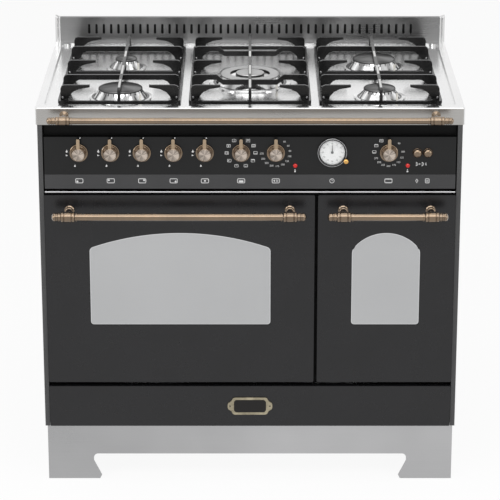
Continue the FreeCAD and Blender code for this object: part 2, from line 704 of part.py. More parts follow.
def oven_cavities():
    for name, door in DOORS.items():
        body = new_body()
        wall = s.enamel_sheet
        pad(body, "XZ", oven_front, s.oven_depth + wall,
            rectangle(door.oven_left - wall, door.oven_right + wall, oven_bottom - wall, oven_top + wall))
        pocket(body, "XZ", oven_front, s.oven_depth,
               rectangle(door.oven_left, door.oven_right, oven_bottom, oven_top))
        holes = [circle(x, z, s.element_radius + s.element_hole_gap) for x, z in element_tails(door)]
        holes.append(circle(*lamp_place(door), s.lamp_radius - s.lamp_flange + s.part_gap))
        if name == "main":
            holes.append(circle(door.centre, oven_middle, s.fan_shaft_radius + s.part_gap * 2))
            for side in (-1, 1):
                holes.append(circle(door.centre + s.ring_element_radius * side, oven_middle,
                                    s.element_tail_radius + s.element_hole_gap))
        pocket(body, "XZ", oven_rear, wall, *holes)
        node(f"{name}_oven_cavity", body)


def oven_insulation():
    wraps = []
    for name, door in DOORS.items():
        wall = s.enamel_sheet
        wrap = s.insulation
        outer = box(door.oven_left - wall - wrap, door.oven_right + wall + wrap, oven_front, wall_rear + wrap,
                    oven_bottom - wall - wrap, oven_top + wall + wrap)
        inner = box(door.oven_left - wall, door.oven_right + wall, oven_front - s.cut_overrun, wall_rear,
                    oven_bottom - wall, oven_top + wall)
        window_half = s.service_window_width / 2 if name == "main" else s.lamp_radius * 2
        lamp_x, lamp_z = lamp_place(door)
        service = box(door.centre - window_half, door.centre + window_half, wall_rear - s.cut_overrun,
                      wall_rear + wrap + s.cut_overrun, oven_middle - s.service_window_height / 2,
                      oven_middle + s.service_window_height / 2)
        tools = [inner, service, rod("Y", wall_rear - s.cut_overrun, wall_rear + wrap + s.cut_overrun,
                                     lamp_x, 0, lamp_z, s.lamp_radius)]
        for x, z in element_tails(door):
            tools.append(rod("Y", wall_rear - s.cut_overrun, wall_rear + wrap + s.cut_overrun,
                             x, 0, z, s.element_radius * 2))
        wraps.append(cut(outer, fuse(*tools)))
    node("oven_insulation", group(*wraps))


def oven_door_seals():
    seals = []
    for door in DOORS.values():
        body = new_body()
        inner = rectangle(door.oven_left - s.seal_margin, door.oven_right + s.seal_margin,
                          oven_bottom - s.seal_margin, oven_top + s.seal_margin)
        reach = s.seal_margin + s.seal_width
        outer = rectangle(door.oven_left - reach, door.oven_right + reach,
                          oven_bottom - reach, oven_top + reach)
        pad(body, "XZ", s.frame_front - s.seal_depth, s.seal_depth, outer, inner)
        corners = outer
        round_edges(body, s.seal_width,
                    lambda edge: runs_along(edge, "Y") and at_corner(edge, corners, "xz"))
        seals.append(body)
    node("oven_door_seals", group(*seals))


def rack_levels():
    return [oven_bottom + oven_height * share for share in RACK_SHARES]


def shelf_supports():
    racks = []
    front = oven_front + s.rack_end_margin
    back = oven_rear - s.rack_end_margin - s.fan_cover_depth
    for door in DOORS.values():
        for wall, side in ((door.oven_left, 1), (door.oven_right, -1)):
            x = wall + s.rack_wall_gap * side
            rods = [rod("Y", front, back, x, 0, level, s.rack_rod) for level in rack_levels()]
            low = oven_bottom + oven_height * RACK_SHARES[0] - s.rack_wall_gap
            high = oven_bottom + oven_height * RACK_SHARES[-1] + s.rack_wall_gap
            for y in (front, back):
                rods.append(rod("Z", low, high, x, y, 0, s.rack_upright))
                near, far = (wall, x) if side > 0 else (x, wall)
                for share in RACK_BOSS_SHARES:
                    level = oven_bottom + oven_height * share
                    rods.append(rod("X", near, far, 0, y, level, s.rack_rod))
            racks.append(fuse(*rods))
    node("shelf_supports", group(*racks))


def wire_shelf(door):
    """A chromed shelf: a rod frame with thinner wires across its depth."""
    inset = s.rack_wall_gap + s.rack_rod + s.shelf_rod * SHELF_INSET_SHARE
    left = door.oven_left + inset
    right = door.oven_right - inset
    front = oven_front + s.shelf_front_gap + s.shelf_rod
    back = oven_rear - s.fan_cover_depth - s.shelf_rear_gap
    level = oven_bottom + oven_height * SHELF_SHARE + s.rack_rod + s.shelf_rod
    rods = [rod("X", door.oven_left + s.shelf_side_gap, door.oven_right - s.shelf_side_gap, 0, y, level,
                s.shelf_rod) for y in (front, back)]
    rods += [rod("Y", front, back, x, 0, level, s.shelf_side_rod) for x in (left, right)]
    first = left + (right - left) / (SHELF_WIRES + 1)
    span = right - left - (first - left) * 2
    for index in range(SHELF_WIRES):
        x = first + span * (index / (SHELF_WIRES - 1))
        rods.append(rod("Y", front, back, x, 0, level, s.shelf_wire))
    return fuse(*rods)


def drip_tray(door):
    """A pressed tray that hangs by its lip on the lowest rods."""
    body = new_body()
    left = door.oven_left + s.shelf_side_gap
    right = door.oven_right - s.shelf_side_gap
    front = oven_front + s.shelf_front_gap
    back = oven_rear - s.fan_cover_depth - s.shelf_rear_gap
    level = oven_bottom + oven_height * TRAY_SHARE + s.rack_rod
    inset = s.rack_wall_gap + s.rack_rod * 2
    pad(body, "XY", level, s.enamel_sheet, rectangle(left, right, front, back))
    pad(body, "XY", level - s.tray_depth, s.tray_depth,
        rectangle(left + inset, right - inset, front + s.tray_lip, back - s.tray_lip))
    pocket(body, "XY", level - s.tray_depth + s.enamel_sheet, s.tray_depth,
           rectangle(left + inset + s.enamel_sheet, right - inset - s.enamel_sheet,
                     front + s.tray_lip + s.enamel_sheet, back - s.tray_lip - s.enamel_sheet))
    return body


def oven_shelves():
    node("oven_shelves", group(wire_shelf(DOORS["main"]), drip_tray(DOORS["main"]),
                               wire_shelf(DOORS["small"])))


def heating_elements():
    pieces = []
    tail = wall_rear + s.element_tail
    near = oven_front + s.element_front_gap
    loop = oven_rear - s.fan_cover_depth - s.element_wall_gap
    for name, door in DOORS.items():
        (left, height), (right, _) = element_tails(door)
        passes = GRILL_PASSES[name]
        step = (right - left) / (passes - 1)
        points = [(left, tail, height)]
        for index in range(passes):
            x = left + step * index
            ends = [near, loop] if index % 2 else [loop, near]
            if index == 0:
                ends = [near]
            elif index == passes - 1:
                ends = [near, tail]
            points += [(x, end, height) for end in ends]
        pieces.append(bent_tube(points, s.element_radius, s.pipe_bend))
    main = DOORS["main"]
    hoop_y = oven_rear - s.fan_wall_gap - s.fan_blade_depth / 2
    hoop = ring("Y", main.centre, hoop_y, oven_middle, s.ring_element_radius, s.element_radius)
    tails = [rod("Y", hoop_y, tail, main.centre + s.ring_element_radius * side, 0, oven_middle,
                 s.element_tail_radius) for side in (-1, 1)]
    pieces.append(fuse(hoop, *tails))
    node("heating_elements", group(*pieces))


def fan_cover():
    main = DOORS["main"]
    body = new_body()
    half = s.fan_cover_width / 2
    depth = s.fan_cover_depth
    sheet_wall = s.enamel_sheet
    pad(body, "XZ", -depth, depth, rectangle(-half, half, -half, half))
    pocket(body, "XZ", -depth + sheet_wall, depth,
           rectangle(-half + sheet_wall, half - sheet_wall, -half + sheet_wall, half - sheet_wall))
    slot = pocket(body, "XZ", -depth, sheet_wall,
                  rectangle(s.fan_slot_inner, s.fan_slot_outer, -s.fan_slot_width / 2, s.fan_slot_width / 2))
    turn_pattern(body, slot, "Y", FAN_SLOTS)
    place(body, main.centre, oven_rear + shift, oven_middle)
    node("fan_cover", body, moved=False)


def convection_fan():
    main = DOORS["main"]
    body = new_body()
    back = -s.fan_wall_gap
    revolve(body, "Y", [
        (0, back - s.fan_blade_depth), (s.fan_hub_radius, back - s.fan_blade_depth),
        (s.fan_hub_radius, back - s.fan_plate), (s.fan_radius, back - s.fan_plate), (s.fan_radius, back),
        (s.fan_shaft_radius, back), (s.fan_shaft_radius, s.fan_shaft_length), (0, s.fan_shaft_length),
    ])
    blade = pad(body, "XZ", back - s.fan_blade_depth, s.fan_blade_depth,
                rectangle(s.fan_radius / 2, s.fan_radius - s.fan_plate, 0, s.fan_plate))
    turn_pattern(body, blade, "Y", FAN_BLADES)
    place(body, main.centre, oven_rear + shift, oven_middle)
    node("convection_fan", body, moved=False)


def fan_motor():
    main = DOORS["main"]
    body = new_body()
    front = s.enamel_sheet
    bore = s.fan_shaft_radius + s.running_gap
    revolve(body, "Y", [
        (bore, front), (s.motor_flange_radius, front), (s.motor_flange_radius, front + s.motor_flange),
        (s.motor_radius, front + s.motor_flange), (s.motor_radius, front + s.motor_length),
        (0, front + s.motor_length), (0, s.fan_shaft_length + s.cut_overrun),
        (bore, s.fan_shaft_length + s.cut_overrun),
    ])
    place(body, main.centre, oven_rear + shift, oven_middle)
    node("fan_motor", body, moved=False)


def oven_lamps():
    lamps = []
    for door in DOORS.values():
        body = new_body()
        neck = s.lamp_radius - s.lamp_flange
        revolve(body, "Y", [
            (0, -s.lamp_radius), (neck / 2, -s.lamp_radius), (s.lamp_radius, -s.lamp_flange),
            (s.lamp_radius, 0), (neck, 0), (neck, s.lamp_holder), (0, s.lamp_holder),
        ])
        x, z = lamp_place(door)
        place(body, x, oven_rear, z)
        lamps.append(body)
    node("oven_lamps", group(*lamps))


# Doors
def window_outline(door, grow):
    """The arched window, or a pane that reaches past it all round."""
    left = door.left + door.margin - grow
    right = door.right - door.margin + grow
    bottom = door_bottom + s.window_foot - grow
    shoulder = door_top - s.window_head - door.rise + grow
    return [(left, bottom), (right, bottom), (right, shoulder, door.rise), (left, shoulder)]


def door_panel(name, door):
    body = new_body()
    back = s.door_front + s.door_thickness
    pad(body, "XZ", s.door_front, s.door_thickness, rectangle(door.left, door.right, door_bottom, door_top))
    corners = [(door.left, door_bottom), (door.right, door_bottom), (door.left, door_top),
               (door.right, door_top)]
    round_edges(body, s.door_corner, lambda edge: runs_along(edge, "Y") and at_corner(edge, corners, "xz"))
    wall = s.door_sheet
    pocket(body, "XZ", s.door_front + wall, s.door_thickness,
           rectangle(door.left + wall, door.right - wall, door_bottom + wall, door_top - wall))
    window = window_outline(door, size_of(0))
    pocket(body, "XZ", s.door_front, wall, window)
    rounded = window[:2] if name == "small" else window
    round_edges(body, s.window_corner,
                lambda edge: runs_along(edge, "Y")
                and at_corner(edge, [(point[0], point[1]) for point in rounded], "xz"))
    slot_half = s.hinge_knuckle_width / 2 + s.hinge_ear + s.hinge_slot_gap
    slots = [rectangle(x - slot_half, x + slot_half, s.door_front + wall, back) for x in door.hinges]
    pocket(body, "XY", door_bottom, wall, *slots)
    node(f"{name}_door_panel", body)


def door_glass(name, door):
    outer = new_body()
    pad(outer, "XZ", s.door_front + s.door_sheet, s.glass_thickness, window_outline(door, s.glass_overlap))
    inner = new_body()
    back = s.door_front + s.door_thickness
    pad(inner, "XZ", back - s.glass_thickness, s.glass_thickness,
        rectangle(door.oven_left + s.glass_overlap, door.oven_right - s.glass_overlap,
                  oven_bottom + s.glass_overlap, oven_top - s.glass_overlap))
    node(f"{name}_door_glass", group(outer, inner))


def door_inner_frame(name, door):
    """The inner liner: a flat pan that closes the door's back and carries the hinge knuckles."""
    body = new_body()
    back = s.door_front + s.door_thickness
    wall = s.door_sheet
    opening = s.glass_overlap * 2
    outer = rectangle(door.left + wall, door.right - wall,
                      door_bottom + s.hinge_rise + s.hinge_knuckle_height / 2, door_top - wall)
    pad(body, "XZ", back, s.door_liner, outer,
        rectangle(door.oven_left + opening, door.oven_right - opening,
                  oven_bottom + opening, oven_top - opening))
    axis_z = door_bottom + s.hinge_rise
    knuckle_front = s.hinge_y - s.hinge_ear_half
    for x in door.hinges:
        pad(body, "XZ", knuckle_front, back + s.door_liner - knuckle_front,
            rectangle(x - s.hinge_knuckle_width / 2, x + s.hinge_knuckle_width / 2,
                      axis_z - s.hinge_ear_half, axis_z + s.hinge_knuckle_height))
    pocket(body, "YZ", door.left, door.right - door.left,
           circle(s.hinge_y, axis_z, s.hinge_pin_radius + s.running_gap))
    node(f"{name}_door_inner_frame", body)


def door_hinges():
    """Two ears on the front frame with a pin through them, at each of four places."""
    hinges = []
    axis_z = door_bottom + s.hinge_rise
    ear_inner = s.hinge_knuckle_width / 2 + s.part_gap
    ear_outer = ear_inner + s.hinge_ear
    for door in DOORS.values():
        for x in door.hinges:
            pieces = [rod("X", x - ear_outer, x + ear_outer, 0, s.hinge_y, axis_z, s.hinge_pin_radius)]
            for low, high in ((x - ear_outer, x - ear_inner), (x + ear_inner, x + ear_outer)):
                pieces.append(box(low, high, s.hinge_y - s.hinge_ear_half, s.frame_front,
                                  axis_z - s.hinge_ear_half, axis_z + s.hinge_ear_half))
            hinges.append(fuse(*pieces))
    node("door_hinges", group(*hinges))


def bar_with_posts(left, right, posts, y, z, face, radius, collar_radius, collar_length, post_radius,
                   rosette_radius, rosette):
    """A round bar that passes through the collars of its posts."""
    bar = fuse(rod("X", left + radius, right - radius, 0, y, z, radius),
               ball(left + radius, y, z, radius), ball(right - radius, y, z, radius))
    pieces = [bar]
    for x in posts:
        start = x - collar_length / 2
        end = x + collar_length / 2
        collar = rod("X", start, end, 0, y, z, collar_radius)
        stem = rod("Y", y, face, x, 0, z, post_radius)
        rose = cone("Y", face - rosette, face, x, 0, z, post_radius, rosette_radius)
        bore = rod("X", start - s.cut_overrun, end + s.cut_overrun, 0, y, z, radius + s.handle_bore_gap)
        pieces.append(cut(fuse(collar, stem, rose), bore))
    return group(*pieces)


def door_handle(name, door):
    handle = bar_with_posts(door.left + s.handle_inset, door.right - s.handle_inset, door.posts, s.handle_y,
                            door_top - s.handle_drop, s.door_front, s.handle_radius,
                            s.handle_collar_radius, s.handle_collar_length, s.handle_post_radius,
                            s.handle_rosette_radius, s.handle_rosette)
    node(f"{name}_door_handle", handle)


def doors():
    for name, door in DOORS.items():
        door_panel(name, door)
        door_glass(name, door)
        door_inner_frame(name, door)
        door_handle(name, door)
    door_hinges()


# Drawer
def drawer():
    back = s.door_front + s.door_thickness + s.knob_air
    front = new_body()
    pad(front, "XZ", s.door_front, back - s.door_front,
        rectangle(-door_half, door_half, drawer_bottom, drawer_top))
    corners = [(side * door_half, z) for side in (-1, 1) for z in (drawer_bottom, drawer_top)]
    round_edges(front, s.door_corner, lambda edge: runs_along(edge, "Y") and at_corner(edge, corners, "xz"))
    wall = s.door_sheet
    pocket(front, "XZ", s.door_front + wall, back - s.door_front,
           rectangle(-door_half + wall, door_half - wall, drawer_bottom + wall, drawer_top - wall))
    node("drawer_front", front)
    body = new_body()
    half = inner_half - s.drawer_side_gap
    bottom = drawer_bottom + s.drawer_box_lift
    top = bottom + s.drawer_box_height
    end = back + s.drawer_depth
    pad(body, "XY", bottom, s.drawer_box_height, rectangle(-half, half, back - wall, end))
    pad(body, "XZ", back - wall, wall,
        rectangle(-door_half + wall, door_half - wall, drawer_bottom + wall, drawer_top - wall))
    rail = bottom + s.drawer_box_height / 2
    pad(body, "XY", rail, s.drawer_wall,
        rectangle(-half - s.drawer_lip, half + s.drawer_lip, s.frame_front, end))
    pocket(body, "XY", bottom + s.drawer_wall, s.drawer_box_height,
           rectangle(-half + s.drawer_wall, half - s.drawer_wall, back - wall + s.drawer_wall,
                     end - s.drawer_wall))
    node("drawer_box", body)
    runners = []
    for side in (-1, 1):
        near = (half + s.part_gap) * side
        far = inner_half * side
        low, high = (near, far) if side > 0 else (far, near)
        runners.append(box(low, high, frame_rear, rear_inner - s.side_rear_flange,
                           rail - s.part_gap - s.runner_height, rail - s.part_gap))
    node("drawer_runners", group(*runners))
    plate_half = s.badge_width / 2 - s.badge_ear
    plate = new_body()
    badge_low = drawer_bottom + s.badge_lift - s.badge_height / 2
    badge_high = badge_low + s.badge_height
    pad(plate, "XZ", s.door_front - s.badge_thickness, s.badge_thickness,
        rectangle(-plate_half, plate_half, badge_low, badge_high))
    ear_low = badge_low + s.badge_height / 4
    ear_high = badge_high - s.badge_height / 4
    pad(plate, "XZ", s.door_front - s.badge_thickness, s.badge_thickness,
        rectangle(-plate_half - s.badge_ear, plate_half + s.badge_ear, ear_low, ear_high))
    upright = [(side * plate_half, z) for side in (-1, 1) for z in (badge_low, badge_high)]
    upright += [(side * (plate_half + s.badge_ear), z) for side in (-1, 1) for z in (ear_low, ear_high)]
    round_edges(plate, s.badge_ear / 2,
                lambda edge: runs_along(edge, "Y") and at_corner(edge, upright, "xz"))
    node("badge_plate", plate)


# Control panel
def panel_x(share):
    return panel_half * share


clock_x = panel_x(CLOCK_SHARE)
clock_z = control_row + s.clock_row_rise
set_knob_place = (clock_x + s.set_knob_x, clock_z - s.set_knob_drop)
button_places = (panel_x(BUTTON_SHARE), panel_x(BUTTON_SHARE) + s.button_gap)
pilot_row = control_row - s.pilot_drop


def control_panel():
    body = new_body()
    wall = s.panel_sheet
    proud = s.panel_band_proud
    face = size_of(0)
    outline = [
        (s.frame_front, hob_bottom), (s.frame_front, hob_bottom - wall),
        (s.panel_recess + wall, hob_bottom - wall), (s.panel_recess + wall, panel_face_top - wall),
        (face + wall, panel_face_top - wall), (face + wall, panel_bottom + wall),
        (s.frame_front, panel_bottom + wall), (s.frame_front, panel_bottom), (-proud, panel_bottom),
        (-proud, panel_band_top), (face, panel_band_top), (face, panel_face_top),
        (s.panel_recess, panel_face_top), (s.panel_recess, hob_bottom),
    ]
    pad(body, "YZ", -panel_half, panel_half * 2, outline)
    shares = list(GAS_KNOB_SHARES.values()) + list(OVEN_KNOB_SHARES.values())
    holes = [circle(panel_x(share), control_row, s.panel_hole_radius) for share in shares]
    holes.append(circle(clock_x, clock_z, s.clock_cup_radius + s.part_gap))
    holes.append(circle(*set_knob_place, s.set_knob_stem + s.part_gap))
    holes += [circle(x, control_row, s.button_stem_radius + s.part_gap) for x in button_places]
    holes += [circle(panel_x(share), pilot_row, s.lamp_body_radius + s.part_gap / 3)
              for share in PILOT_SHARES]
    pocket(body, "XZ", 0, wall, *holes)
    node("control_panel", body)


def trim_strip():
    body = new_body()
    pad(body, "XZ", -s.trim_proud, s.trim_proud + s.frame_front,
        rectangle(-panel_half, panel_half, trim_bottom, trim_top))
    edges = [(-s.trim_proud, z) for z in (trim_bottom, trim_top)]
    round_edges(body, s.trim_height / 4,
                lambda edge: runs_along(edge, "X") and at_corner(edge, edges, "yz"))
    node("trim_strip", body)


def knob(name, share):
    """A turned knob with a raised lever, on its own spindle."""
    body = new_body()
    dish_back = -s.knob_air
    dish_front = dish_back - s.knob_dish
    face = dish_front - s.knob_hub
    revolve(body, "Y", [
        (0, face), (s.knob_hub_radius - s.knob_face_ring, face), (s.knob_hub_radius, face + s.knob_face_ring),
        (s.knob_hub_radius, dish_front), (s.knob_dish_radius - s.knob_face_ring, dish_front),
        (s.knob_dish_radius, dish_front + s.knob_face_ring), (s.knob_dish_radius, dish_back),
        (s.knob_spindle_radius, dish_back), (s.knob_spindle_radius, s.knob_spindle_length),
        (0, s.knob_spindle_length),
    ])
    half = s.knob_lever_half
    pad(body, "XZ", face, s.knob_lever_depth, [
        (-half, 0), (half, 0),
        (half * LEVER_FOOT_SHARE, s.knob_lever_reach - half, half * LEVER_TIP_SHARE),
        (-half * LEVER_FOOT_SHARE, s.knob_lever_reach - half),
    ])
    place(body, panel_x(share), shift, control_row)
    node(name, body, moved=False)


def knobs():
    for name, share in GAS_KNOB_SHARES.items():
        knob(name, share)
    for name, share in OVEN_KNOB_SHARES.items():
        knob(name, share)


def burner_place(name):
    across, back, cap, skirt, flange = BURNER_SHARES[name]
    return SimpleNamespace(x=pan_pitch * across, y=s.cooker_depth * back, cap=s.cooker_depth * cap,
                           skirt=s.cooker_depth * skirt, flange=s.cooker_depth * flange)


def gas_manifold():
    pipe_z = control_row - s.manifold_drop
    y = s.manifold_y
    left = panel_x(GAS_KNOB_SHARES["gas_knob_left_front"]) - s.tap_radius * 2
    thread_start = s.cooker_depth - s.inlet_thread
    pieces = [
        rod("X", left, s.inlet_x, 0, y, pipe_z, s.manifold_radius),
        ball(s.inlet_x, y, pipe_z, s.manifold_radius),
        rod("Y", y, thread_start, s.inlet_x, 0, pipe_z, s.manifold_radius),
        rod("Y", thread_start, s.cooker_depth, s.inlet_x, 0, pipe_z, s.inlet_radius),
    ]
    for x in (left, s.inlet_x - s.manifold_radius * 2):
        pieces.append(box(x, x + s.manifold_bracket, frame_rear, y, pipe_z - s.manifold_radius / 2,
                          hob_bottom))
    bores = []
    for share in GAS_KNOB_SHARES.values():
        x = panel_x(share)
        end = s.tap_start + s.tap_length
        pieces.append(rod("Y", s.tap_start, end + s.manifold_radius, x, 0, control_row, s.tap_radius))
        bores.append(rod("Y", s.tap_start - s.cut_overrun, s.knob_spindle_length + s.cut_overrun, x, 0,
                         control_row, s.knob_spindle_radius + s.running_gap))
    manifold = cut(fuse(*pieces), *bores)
    tubes = []
    for (knob_name, share), burner_name in zip(GAS_KNOB_SHARES.items(), GAS_KNOB_FEEDS):
        burner = burner_place(burner_name)
        x = panel_x(share)
        tube_y = s.tap_start + s.tap_length / 2
        rise = s.front_pipe_rise if "front" in burner_name else s.rear_pipe_rise
        level = control_row + rise
        start = (x, tube_y, control_row + s.tap_radius)
        points = [start, (x, tube_y, level), (x, burner.y, level), (burner.x, burner.y, level),
                  (burner.x, burner.y, hob_floor - s.burner_cup)]
        tubes.append(bent_tube(points, s.burner_pipe_radius, s.pipe_bend / 2))
    node("gas_manifold", group(manifold, *tubes))


def control_switches():
    """The oven selector, the two thermostats and the two push switches, all fixed behind the panel."""
    pieces = []
    back = s.panel_sheet
    for share in OVEN_KNOB_SHARES.values():
        x = panel_x(share)
        neck = rod("Y", back, s.switch_neck, x, 0, control_row, s.switch_neck_radius)
        block = box(x - s.switch_half, x + s.switch_half, s.switch_neck, s.switch_neck + s.switch_depth,
                    control_row - s.switch_half, control_row + s.switch_half)
        bore = rod("Y", 0, s.knob_spindle_length + s.cut_overrun, x, 0, control_row,
                   s.knob_spindle_radius + s.running_gap)
        pieces.append(cut(fuse(neck, block), bore))
    for x in button_places:
        neck = rod("Y", back, s.button_neck, x, 0, control_row, s.switch_neck_radius)
        block = box(x - s.button_switch_half, x + s.button_switch_half, s.button_neck,
                    s.button_neck + s.button_switch_depth, control_row - s.button_switch_half,
                    control_row + s.button_switch_half)
        bore = rod("Y", 0, s.button_stem + s.button_travel + s.cut_overrun, x, 0, control_row,
                   s.button_stem_radius + s.running_gap)
        pieces.append(cut(fuse(neck, block), bore))
    node("control_switches", group(*pieces))


def buttons():
    for name, x in zip(("ignition_button", "light_button"), button_places):
        body = new_body()
        rear = -s.button_travel - s.button_air
        front = rear - s.button_cap
        revolve(body, "Y", [
            (0, front), (s.button_radius - s.button_cap / 3, front),
            (s.button_radius, front + s.button_cap / 3), (s.button_radius, rear),
            (s.button_stem_radius, rear), (s.button_stem_radius, s.button_stem),
            (0, s.button_stem),
        ])
        place(body, x, shift, control_row)
        node(name, body, moved=False)


def pilot_lamps():
    lamps = []
    for share in PILOT_SHARES:
        body = new_body()
        revolve(body, "Y", [
            (0, -s.lamp_lens_proud), (s.lamp_lens_radius / 2, -s.lamp_lens_proud),
            (s.lamp_lens_radius, -s.lamp_lens_proud / 3),
            (s.lamp_lens_radius, 0), (s.lamp_body_radius, 0), (s.lamp_body_radius, s.lamp_body_length),
            (0, s.lamp_body_length),
        ])
        place(body, panel_x(share), 0, pilot_row)
        lamps.append(body)
    node("pilot_lamps", group(*lamps))


def clock():
    case = new_body()
    dial_front = -s.clock_dial_seat - s.clock_dial
    ring_inner = s.clock_dial_radius + s.glass_seat / 2
    revolve(case, "Y", [
        (s.clock_cup_inner, -s.clock_dial_seat), (ring_inner, -s.clock_dial_seat),
        (ring_inner, -s.clock_ring_depth), (s.clock_ring_radius - s.panel_sheet, -s.clock_ring_depth),
        (s.clock_ring_radius, -s.clock_ring_depth / 2), (s.clock_ring_radius, 0),
        (s.clock_cup_radius, 0), (s.clock_cup_radius, s.clock_cup_back),
        (s.clock_cup_inner, s.clock_cup_back),
    ])
    dial = new_body()
    revolve(dial, "Y", [(s.hour_tube_radius + s.running_gap, dial_front), (s.clock_dial_radius, dial_front),
                        (s.clock_dial_radius, -s.clock_dial_seat),
                        (s.hour_tube_radius + s.running_gap, -s.clock_dial_seat)])
    glass = new_body()
    glass_front = -s.clock_ring_depth + s.clock_glass_seat
    glass_back = glass_front + s.clock_glass
    revolve(glass, "Y", [(0, glass_front), (s.clock_dial_radius, glass_front),
                         (s.clock_dial_radius, glass_back), (0, glass_back)])
    movement = new_body()
    half = s.clock_movement_half
    pad(movement, "XZ", s.clock_cup_back, s.clock_movement_depth,
        rectangle(-half, s.clock_movement_reach, -half, half))
    pocket(movement, "XZ", s.clock_cup_back, s.clock_movement_depth,
           circle(0, 0, s.hour_tube_radius + s.running_gap),
           circle(s.set_knob_x, -s.set_knob_drop, s.set_knob_stem + s.running_gap))
    for piece in (case, dial, glass, movement):
        place(piece, clock_x, 0, clock_z)
    node("clock_case", group(case, dial, glass, movement))
    hand("clock_hour_hand", dial_front - s.hour_hand_seat, s.hour_hand_length, s.hour_tube_radius,
         s.minute_arbor_radius + s.running_gap)
    hand(("clock_minute_hand"), dial_front - s.minute_hand_seat, s.minute_hand_length,
         s.minute_arbor_radius, None)
    set_knob = new_body()
    back = -s.set_knob_air
    front = back - s.set_knob_length
    revolve(set_knob, "Y", [
        (0, front), (s.set_knob_radius / 2, front), (s.set_knob_radius, front + s.set_knob_length / 3),
        (s.set_knob_radius, back - s.set_knob_length / 3), (s.set_knob_radius / 2, back),
        (s.set_knob_stem, back), (s.set_knob_stem, s.clock_movement_depth), (0, s.clock_movement_depth),
    ])
    place(set_knob, set_knob_place[0], shift, set_knob_place[1])
    node("clock_set_knob", set_knob, moved=False)


def hand(name, front, length, arbor, bore):
    """A clock hand on its arbor or tube, pointing at twelve."""
    body = new_body()
    hub = arbor * 2
    inner = bore if bore else 0
    revolve(body, "Y", [
        (inner, front), (hub, front), (hub, front + s.hand_thickness), (arbor, front + s.hand_thickness),
        (arbor, s.clock_movement_depth / 2), (inner, s.clock_movement_depth / 2),
    ])
    start = hub * HAND_ROOT_SHARE
    pad(body, "XZ", front, s.hand_thickness, [
        (-s.hand_half_width, start), (s.hand_half_width, start), (s.hand_half_width / 3, length),
        (-s.hand_half_width / 3, length),
    ])
    place(body, clock_x, shift, clock_z)
    node(name, body, moved=False)


# Hob
def hob_tray():
    body = new_body()
    depth = s.cooker_depth
    wall = s.steel_sheet
    pad(body, "XY", hob_bottom, s.hob_fascia, rectangle(-half_width, half_width, 0, depth))
    corners = [(side * half_width, y) for side in (-1, 1) for y in (size_of(0), depth)]
    round_edges(body, s.hob_corner_radius,
                lambda edge: runs_along(edge, "Z") and at_corner(edge, corners, "xy"))
    top_height = s.hob_height.value
    round_edges(body, s.hob_edge_radius, lambda edge: abs(edge.CenterOfMass.z - top_height) < SAME_PLACE)
    rim = s.hob_rim
    recess = rectangle(-half_width + rim, half_width - rim, rim, depth - rim - s.splash_depth)
    pocket(body, "XY", hob_floor, s.hob_recess, recess)
    recess_corners = [(point[0], point[1]) for point in recess]
    round_edges(body, s.hob_recess_corner,
                lambda edge: runs_along(edge, "Z") and at_corner(edge, recess_corners, "xy")
                and edge.CenterOfMass.z > hob_floor.value)
    pocket(body, "XY", hob_bottom, hob_underside - hob_bottom,
           rectangle(-half_width + wall, half_width - wall, wall, depth - wall))
    inner = rectangle(-half_width + rim - wall, half_width - rim + wall, rim - wall,
                      depth - rim - s.splash_depth + wall)
    pocket(body, "XY", hob_underside, rim_underside - hob_underside,
           rectangle(-half_width + wall, half_width - wall, wall, depth - wall), inner)
    holes = []
    for name in BURNER_SHARES:
        burner = burner_place(name)
        probe_x, probe_y = electrode_place(burner)
        holes.append(circle(burner.x, burner.y, burner.skirt - s.burner_hole_margin + s.part_gap))
        holes.append(circle(burner.x + probe_x, burner.y + probe_y, s.electrode_radius + s.part_gap))
    pocket(body, "XY", hob_underside, wall, *holes)
    node("hob_tray", body)


def electrode_place(burner):
    reach = (burner.flange + burner.skirt) / 2
    return (reach * DIAGONAL_SHARE, -reach * DIAGONAL_SHARE)


def burners():
    bases, heads, caps, probes = [], [], [], []
    for name in BURNER_SHARES:
        burner = burner_place(name)
        cup = burner.skirt - s.burner_hole_margin
        floor = hob_floor
        top = floor + s.burner_flange
        base = new_body()
        revolve(base, "Z", [
            (0, floor - s.burner_cup), (cup / 2, floor - s.burner_cup), (cup, floor - s.burner_cup / 2),
            (cup, floor), (burner.flange, floor), (burner.flange, top), (cup - s.burner_wall, top),
            (cup - s.burner_wall, floor - s.burner_cup / 2 + s.burner_wall),
            (0, floor - s.burner_cup / 2 + s.burner_wall),
        ])
        probe_x, probe_y = electrode_place(burner)
        pocket(base, "XY", floor - s.burner_cup, s.burner_cup * 2,
               circle(probe_x, probe_y, s.electrode_radius + s.part_gap / 3))
        bases.append(place(base, burner.x, burner.y, 0))
        head_top = top + s.burner_head_height
        head = new_body()
        revolve(head, "Z", [
            (burner.skirt - s.burner_wall, top), (burner.skirt, top),
            (burner.cap + s.burner_cap_over, head_top - s.burner_head_top),
            (burner.cap - s.burner_cap_over, head_top), (0, head_top), (0, head_top - s.burner_wall),
            (burner.cap - s.burner_wall * 2, head_top - s.burner_wall - s.burner_head_top),
        ])
        port = pocket(head, "XY", head_top - s.burner_port_depth, s.burner_port_depth,
                      rectangle(burner.cap - s.burner_wall * 2, burner.cap + s.burner_wall * 2,
                                -s.burner_port_width / 2, s.burner_port_width / 2))
        turn_pattern(head, port, "Z", BURNER_PORTS)
        heads.append(place(head, burner.x, burner.y, 0))
        caps += burner_caps_for(name, burner, head_top)
        probe = rod("Z", floor - s.electrode_tail, top + s.electrode_rise, burner.x + probe_x,
                    burner.y + probe_y, 0, s.electrode_radius)
        probes.append(probe)
    node("burner_bases", group(*bases))
    node("burner_heads", group(*heads))
    node("burner_caps", group(*caps))
    node("spark_electrodes", group(*probes))


